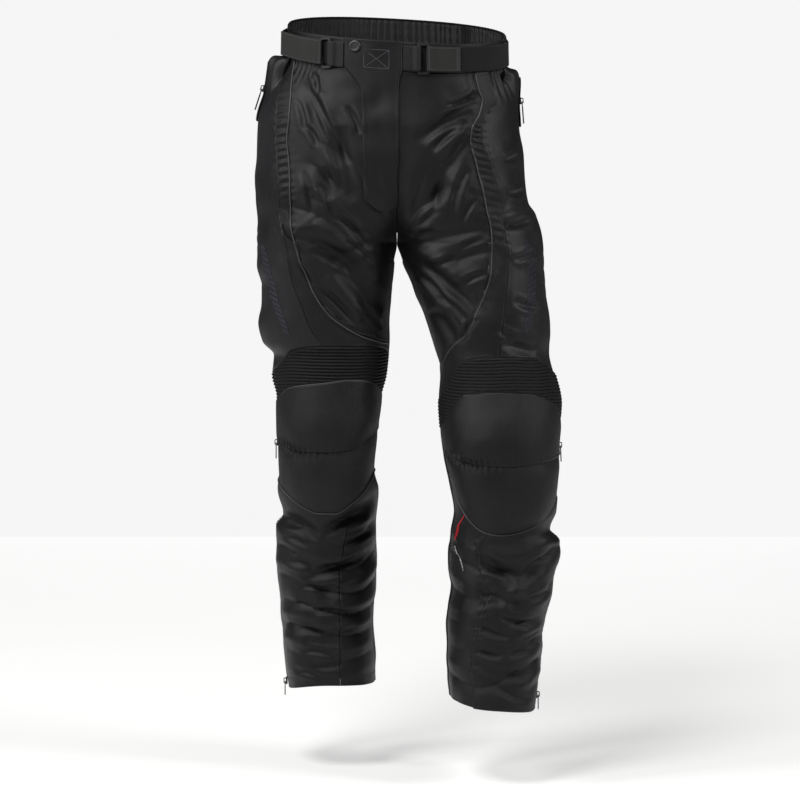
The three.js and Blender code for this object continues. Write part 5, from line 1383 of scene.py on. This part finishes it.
RIGHT_BARS = [(208, -308), (198, -350), (186, -396), (166, -448)]
LEFT_BARS = [(196, -300), (204, -332), (208, -358), (204, -400), (198, -446)]
for leg, rows in ((RIGHT, RIGHT_BARS), (LEFT, LEFT_BARS)):
    satin_bars("thigh_motif", leg, rows, 9, 14, 0.55, 0.9)
satin_bars("calf_red", LEFT, [(104, -717), (93, -737), (90, -762)], 4.2, 3.4, 0.9, 0.8)
satin_bars("calf_white", LEFT, [(89, -768), (92, -788), (99, -804)], 5, 2.0, -0.9, 0.6)
LOOKS = {
    "right_topstitch": THREAD, "left_topstitch": THREAD, "flap_topstitch": THREAD, "tab_motif": PALE_THREAD,
    "thigh_motif": GREY_THREAD, "calf_red": RED_THREAD, "calf_white": WHITE_THREAD,
}

# %% [markdown]
# ## Waist adjusters
# A webbing tab holds a flat ring. The strap runs through the ring and back over itself: its under side is
# fuzzy loop fabric, and its end is the stiffer hook strip. Both lie on the band, so their points are the
# band's, moved out by what lies under them.

# %% Straps through the rings
STRAP_WIDTH = 38
RING = {"width": 20, "height": 48, "bar": 4.5, "lift": 1.0, "thickness": 3}
OVER_RING = RING["lift"] + RING["thickness"] + 0.5
LAYER = 2.1
STRAP_END = 0.6


def band_share(leg, x):
    return float(front_share(leg, 0.0, x))


def strap_grid(leg, at, out, height, z):
    lines = grid_lines(height, 4.0, (0, 0.6, 1.4, 2.6))
    z_grid = (z + height / 2 - lines * height)[:, None] + 0 * at[None, :]
    rolled = -0.8 * bump(np.minimum(lines, 1 - lines)[:, None] * height / 0.7)
    return band_point(leg, at[None, :] + 0 * z_grid, z_grid, out[None, :] + rolled)


def sew_strap(leg, at, heights, out, pitch, size):
    sew("strap_stitch", band_point(leg, at, heights, out), outward(leg, at, heights), pitch, size)


for leg in LEGS:
    x, z, lean = leg.ring
    half, bar = RING["width"] / 2, RING["width"] / 2 - RING["bar"]
    on_bar, tab_end = OVER_RING + 2.2, x - bar + 1
    stations = [(leg.anchor_inner, 2.8), (x - half - 6, 3.0), (x - half - 1.5, on_bar), (tab_end, on_bar)]
    lift = table_curve(stations)
    xs = lerp(leg.anchor_inner, tab_end, grid_lines(tab_end - leg.anchor_inner, 2.0, (0, 0.5, 1.2)))
    at = np.array([band_share(leg, value) for value in xs])
    points = strap_grid(leg, at, lift(xs), STRAP_WIDTH, z)
    band_piece(f"{leg.name}_adjuster_tab", points, [f"{leg.name}_adjuster_anchor"], WEBBING, 2.0)
    start, over = band_share(leg, x + bar - 1), band_share(leg, x + half + 2)
    doubled = 0.455 if leg is RIGHT else band_share(leg, 95)
    proud = lambda at: 1.0 + leg.strap_proud * bump((at - 0.46) / 0.05)
    around = float(girth(leg, 0.0))
    layers = (("loop", STRAP_END, LAYER, LOOP_SIDE), ("hook", doubled, 2 * LAYER + 0.1, HOOK_SIDE))
    for layer, end, extra, look in layers:
        at = lerp(start, end, grid_lines((end - start) * around, 3.5, (0, 0.6, 1.4, 2.6)))
        settled = smooth(at, over, over + 0.016)
        out = lerp(OVER_RING, proud(at), settled) + extra
        points = strap_grid(leg, at, out, STRAP_WIDTH, z)
        nodes = [f"{leg.name}_adjuster_strap"]
        band_piece(f"{leg.name}_strap_{layer}", points, nodes, look, 1.9)
        if layer == "hook":
            for row in (STRAP_WIDTH / 2 - 2.5, -STRAP_WIDTH / 2 + 2.5):
                row_at = np.linspace(start + 0.004, end - 0.004, 120)
                out_at = np.interp(row_at, at, out) + 0.1
                heights = np.full(row_at.shape, z + row)
                sew_strap(leg, row_at, heights, out_at, 3.0, (2.4, 0.9, 0.6))
            for share in (start + 0.006, end - 0.006, end - 0.012):
                swing = np.linspace(-STRAP_WIDTH / 2 + 3, STRAP_WIDTH / 2 - 3, 60)
                wiggle = share + 0.0016 * np.sin(swing * 2.1)
                out_at = np.interp(wiggle, at, out) + 0.1
                sew_strap(leg, wiggle, z + swing, out_at, 1.7, (1.9, 0.8, 0.6))
LOOKS["strap_stitch"] = PALE_THREAD


# %% Rings of the adjusters
def turn_to(piece, point, outward_direction, up):
    """Places a piece modelled with Y out and Z up, and leaves its object at the origin."""
    out = outward_direction / np.linalg.norm(outward_direction)
    across = np.cross(out, up)
    across /= np.linalg.norm(across)
    upright = np.cross(across, out)
    points = np.array([v.co for v in piece.data.vertices]) / MM
    placed = point + points[:, :1] * across + points[:, 1:2] * out + points[:, 2:] * upright
    piece.data.vertices.foreach_set("co", (placed * MM).ravel())
    piece.data.update()


for leg in LEGS:
    x, z, lean = leg.ring
    wide, tall = (RING["width"] - RING["bar"]) / 2, (RING["height"] - RING["bar"]) / 2
    corner = 3.4
    loop = []
    for quarter, (side_x, side_z) in enumerate([(1, 1), (-1, 1), (-1, -1), (1, -1)]):
        for step in range(7):
            angle = math.pi / 2 * (quarter + step / 6)
            loop.append((side_x * (wide - corner) + corner * math.cos(angle), 0,
                         side_z * (tall - corner) + corner * math.sin(angle)))
    ring = round_curve(f"{leg.name}_ring", np.array(loop), RING["bar"] / 2, 3, closed=True)
    for vertex in ring.data.vertices:
        vertex.co.y = max(-1.5, min(1.5, vertex.co.y / MM)) * MM
    share = band_share(leg, x)
    height = np.array(float(z))
    point = band_point(leg, np.array(share), height, RING["lift"] + RING["thickness"] / 2)
    out = outward(leg, np.array(share), np.array(0.0))
    turn_to(ring, point, out, np.array([math.sin(math.radians(lean)), 0, 1.0]))
    shade_and_leave(40)
    settle(ring, RING_LOOK, [f"{leg.name}_adjuster_ring"])
    print(ring.name, len(ring.data.polygons), "faces")

# %% [markdown]
# ## Press stud, zips and pulls
# The stud's cap is a disc whose rim is rolled over, so its face is inset and raised in steps. The zips
# get their teeth, one copied hundreds of times. The sliders and pulls keep their CAD shape: the pocket
# pulls take the rubber, and all the others the metal.

# %% Press stud
bpy.ops.mesh.primitive_cylinder_add(vertices=48, radius=8.8 * MM, depth=1.4 * MM)
stud = bpy.context.object
stud.name = stud.data.name = "stud_cap"
bpy.ops.object.mode_set(mode="EDIT")
bpy.ops.mesh.select_all(action="DESELECT")
bpy.ops.object.mode_set(mode="OBJECT")
for face in stud.data.polygons:
    face.select = face.normal.z > 0.9
bpy.ops.object.mode_set(mode="EDIT")
for inset, rise in ((1.0, 0.9), (1.2, 0.35), (0.8, -0.35), (2.2, 0.1)):
    bpy.ops.mesh.inset(thickness=inset * MM)
    bpy.ops.transform.translate(value=(0, 0, rise * MM))
bpy.ops.object.mode_set(mode="OBJECT")
bevel = stud.modifiers.new("Soft edges", "BEVEL")
bevel.width, bevel.segments = 0.3 * MM, 2
bpy.ops.object.modifier_apply(modifier=bevel.name)
for vertex in stud.data.vertices:
    x, y, z = vertex.co
    vertex.co = (x, z + 0.9 * MM, -y)
STUD_X, STUD_Z = np.array([-63.0]), np.array([11.0])
stud_point = front_point(STUD_X, STUD_Z, FLAP_OUT + 0.5)[0]
stud_out = outward(RIGHT, front_share(RIGHT, STUD_Z, -STUD_X), STUD_Z)[0]
turn_to(stud, stud_point, stud_out, np.array([0, 0, 1.0]))
shade_and_leave(30)
settle(stud, STUD_METAL, ["snap"])

# %% Pocket zips and teeth
POCKET_ZIP_MIDDLE = 0.49
pocket_tape = SimpleNamespace(
    left=constant(0.48), right=constant(0.5), top=constant(-45), bottom=constant(-123)
)
above_cloth = lambda at, z: 2.8 + 0 * at
for leg in LEGS:
    cut_piece(leg, "pocket_zip", pocket_tape, WEBBING, above_cloth, step=2.0, wall=2.4, roll=0.5)

bpy.ops.mesh.primitive_cube_add(size=1)
tooth = bpy.context.object
bevel = tooth.modifiers.new("Soft edges", "BEVEL")
bevel.width, bevel.segments = 0.18, 1
bpy.ops.object.modifier_apply(modifier=bevel.name)
tooth_points = np.array([v.co for v in tooth.data.vertices])
tooth_faces = [list(p.vertices) for p in tooth.data.polygons]
bpy.data.objects.remove(tooth)


def zip_teeth(name, leg, share, start, end, out, pitch=2.1, size=(1.6, 2.6, 1.5)):
    z = np.arange(start, end, -pitch)
    side = np.where(np.arange(len(z)) % 2 == 0, 1, -1)
    at = share + side * 0.75 / girth(leg, z)
    centres = cloth_point(leg, at, z, out)
    along = cloth_point(leg, at, z - 1, out) - centres
    blocks = turned_copies(tooth_points * size, centres, along, outward(leg, at, z))
    mesh_of_copies(name, blocks, tooth_faces, RUBBER, rounded=False)


# the teeth stop above and below the knee slider, and near the hem
ABOVE_SLIDER, BELOW_SLIDER, ZIP_END = -606, -630, -994
for leg in LEGS:
    highest = float(leg.patch_top_line(ZIP_MIDDLE))
    zip_teeth(f"{leg.name}_leg_zip_teeth", leg, ZIP_MIDDLE, highest - 3, ABOVE_SLIDER, 1.2)
    zip_teeth(f"{leg.name}_leg_zip_teeth_low", leg, ZIP_MIDDLE, BELOW_SLIDER, ZIP_END, 1.2)
    zip_teeth(f"{leg.name}_pocket_zip_teeth", leg, POCKET_ZIP_MIDDLE, -92, -121, 3.0, size=(1.4, 2.2, 1.0))

# %% Dress the hardware that keeps its CAD shape
for name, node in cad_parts.items():
    if name.endswith(("_slider", "_pull")):
        node.data.materials.clear()
        node.data.materials.append(RUBBER if name.endswith("pocket_pull") else METAL)
for group, look in LOOKS.items():
    mesh_of_copies(group, np.concatenate(ROWS[group]), stitch_faces, look, rounded=True)

# %% [markdown]
# ## Sheets of cloth
# Each panel is listed with the rectangle that it is cut from, and where its flat area is known, the two are
# printed. Its flat area is that of the smooth surface under its folds, and the flap's is that of its outline.
# Neither is taken from the finished mesh, so the frame's check can tell when folds have stretched the cloth.
# The waistband, straps and tabs are plain rectangles.

CUT_FOR_EACH_LEG = [
    ("front_thigh_cloth", 0.235, 0.56, "hung"), ("side_front_cloth", 0.085, 0.595, "gathered"),
    ("side_outer_cloth", 0.18, 0.515, "hung"), ("seat_cloth", 0.305, 0.30, "hung"),
    ("back_thigh_cloth", 0.355, 0.37, "hung"), ("back_calf_cloth", 0.275, 0.445, "hung"),
    ("knee_ribs_cloth", 0.34, 0.075, "stretched"), ("knee_patch_upper_cloth", 0.305, 0.115, "hung"),
    ("knee_patch_lower_cloth", 0.30, 0.11, "hung"), ("shin_cloth", 0.195, 0.35, "hung"),
    ("calf_inner_cloth", 0.135, 0.355, "hung"), ("leg_zip_cloth", 0.018, 0.465, "hung"),
    ("pocket_zip_cloth", 0.015, 0.09, "hung"), ("adjuster_tab", 0.031, 0.039, "hung"),
]
CUT_ONCE = [
    ("waistband_front_right_cloth", 0.20, 0.047, "hung"), ("waistband_front_left_cloth", 0.20, 0.047, "hung"),
    ("waistband_back_cloth", 0.66, 0.047, "gathered"), ("fly_flap_cloth", 0.092, 0.27, "hung"),
    ("right_strap_loop", 0.18, 0.039, "hung"), ("left_strap_loop", 0.245, 0.039, "hung"),
    ("right_strap_hook", 0.11, 0.039, "hung"), ("left_strap_hook", 0.057, 0.039, "hung"),
]


def declare(piece, width, length):
    area = CUT_AREA.get(piece.name)
    if area is not None:
        print(f"{piece.name}: cut {width:.3f} x {length:.3f} m, smooth area {area:.5f} m2")


for leg in LEGS:
    for name, width, length, held in CUT_FOR_EACH_LEG:
        declare(PANELS[f"{leg.name}_{name}"], width, length)
for name, width, length, held in CUT_ONCE:
    declare(PANELS[name], width, length)

# %% [markdown]
# ## Floor, light and camera
# A pale floor reaches back as far as the studio's wall, and glows more towards the back: painted light
# that keeps its far part pale and also lights the legs from below. A soft light stands above in front, and
# two that stand farther away at the sides draw the edges of the legs out of the dark. The camera is level,
# at the height of the upper thighs and four metres away. Its lens is shifted down instead of being tilted,
# as the upright lines of the photograph show.


# %% Floor and lights
# emission strength of the floor at its front and at its back: painted light, brighter towards the back
FLOOR_PAINTED_LIGHT = (0.3, 0.8)
FLOOR_SIZE = (14, 9, 1, 1)
FLOOR_PLACE = (0, -1.5, -1.13)


def floor_painted_light_look(name, colour, roughness):
    look, tree, shader = new_look(name, colour, roughness)
    place = tree.nodes.new("ShaderNodeTexCoord")
    worn = ramp(tree, noise(tree, place.outputs["Object"], 1.5), roughness - 0.1, roughness + 0.1)
    tree.links.new(worn, shader.inputs["Roughness"])
    shader.inputs["Emission Color"].default_value = (1, 1, 1, 1)
    split = tree.nodes.new("ShaderNodeSeparateXYZ")
    tree.links.new(place.outputs["Object"], split.inputs[0])
    # the floor glows more the farther back it lies: painted light that keeps the far floor pale
    painted_glow = ramp(tree, split.outputs["Y"], *FLOOR_PAINTED_LIGHT, 0.5, 4.5)
    tree.links.new(painted_glow, shader.inputs["Emission Strength"])
    return look


bpy.ops.mesh.primitive_plane_add(size=1, location=(0, 0, 0))
floor = bpy.context.object
floor.name = "floor"
floor.data.transform(Matrix.Diagonal(FLOOR_SIZE))
floor.location = FLOOR_PLACE
floor.data.materials.append(floor_painted_light_look("pale floor", (0.6, 0.6, 0.59), 0.8))


LIGHT_TARGET = Vector((0, 0, -0.2))
# name, place and diameter in metres, power in watts
LIGHTS = [
    ("key above", (-0.8, -1.35, 1.55), 0.9, 56),
    ("left side", (-2.7, -1.2, 1.2), 1.0, 62),
    ("right side", (2.7, -1.1, 1.2), 1.0, 64),
]
for name, place, size, power in LIGHTS:
    bpy.ops.object.light_add(type="AREA", location=place)
    lamp = bpy.context.object
    lamp.name = name
    lamp.data.shape = "DISK"
    lamp.data.size = size
    lamp.data.energy = power
    lamp.rotation_euler = (LIGHT_TARGET - lamp.location).to_track_quat("-Z", "Y").to_euler()
world = bpy.data.worlds.new("studio")
bpy.context.scene.world = world
bpy.context.scene.view_settings.view_transform = "Standard"
world.use_nodes = True
backdrop = world.node_tree.nodes["Background"]
backdrop.inputs["Color"].default_value = (1, 1, 1, 1)
seen = world.node_tree.nodes.new("ShaderNodeLightPath")
WORLD_LIGHT, WORLD_SEEN = 0.05, 0.92
strength = ramp(world.node_tree, seen.outputs["Is Camera Ray"], WORLD_LIGHT, WORLD_SEEN, 0.0, 1.0)
world.node_tree.links.new(strength, backdrop.inputs["Strength"])

# %% Camera at the photograph's viewpoint
FRAME_WIDTH_M = 1.248
DISTANCE_M = 4.0
SENSOR_MM = 36
CAMERA_SIDE_M, CAMERA_HEIGHT_M = 0.0047, -0.278
LENS_SHIFT = -0.219
camera_data = bpy.data.cameras.new("camera")
camera = bpy.data.objects.new("camera", camera_data)
bpy.context.scene.collection.objects.link(camera)
camera.location = (CAMERA_SIDE_M, -DISTANCE_M, CAMERA_HEIGHT_M)
camera.rotation_euler = (math.pi / 2, 0, 0)
camera_data.sensor_width = SENSOR_MM
camera_data.lens = SENSOR_MM * DISTANCE_M / FRAME_WIDTH_M
camera_data.shift_y = LENS_SHIFT
bpy.context.scene.camera = camera
print("lens:", round(camera_data.lens, 1), "mm")
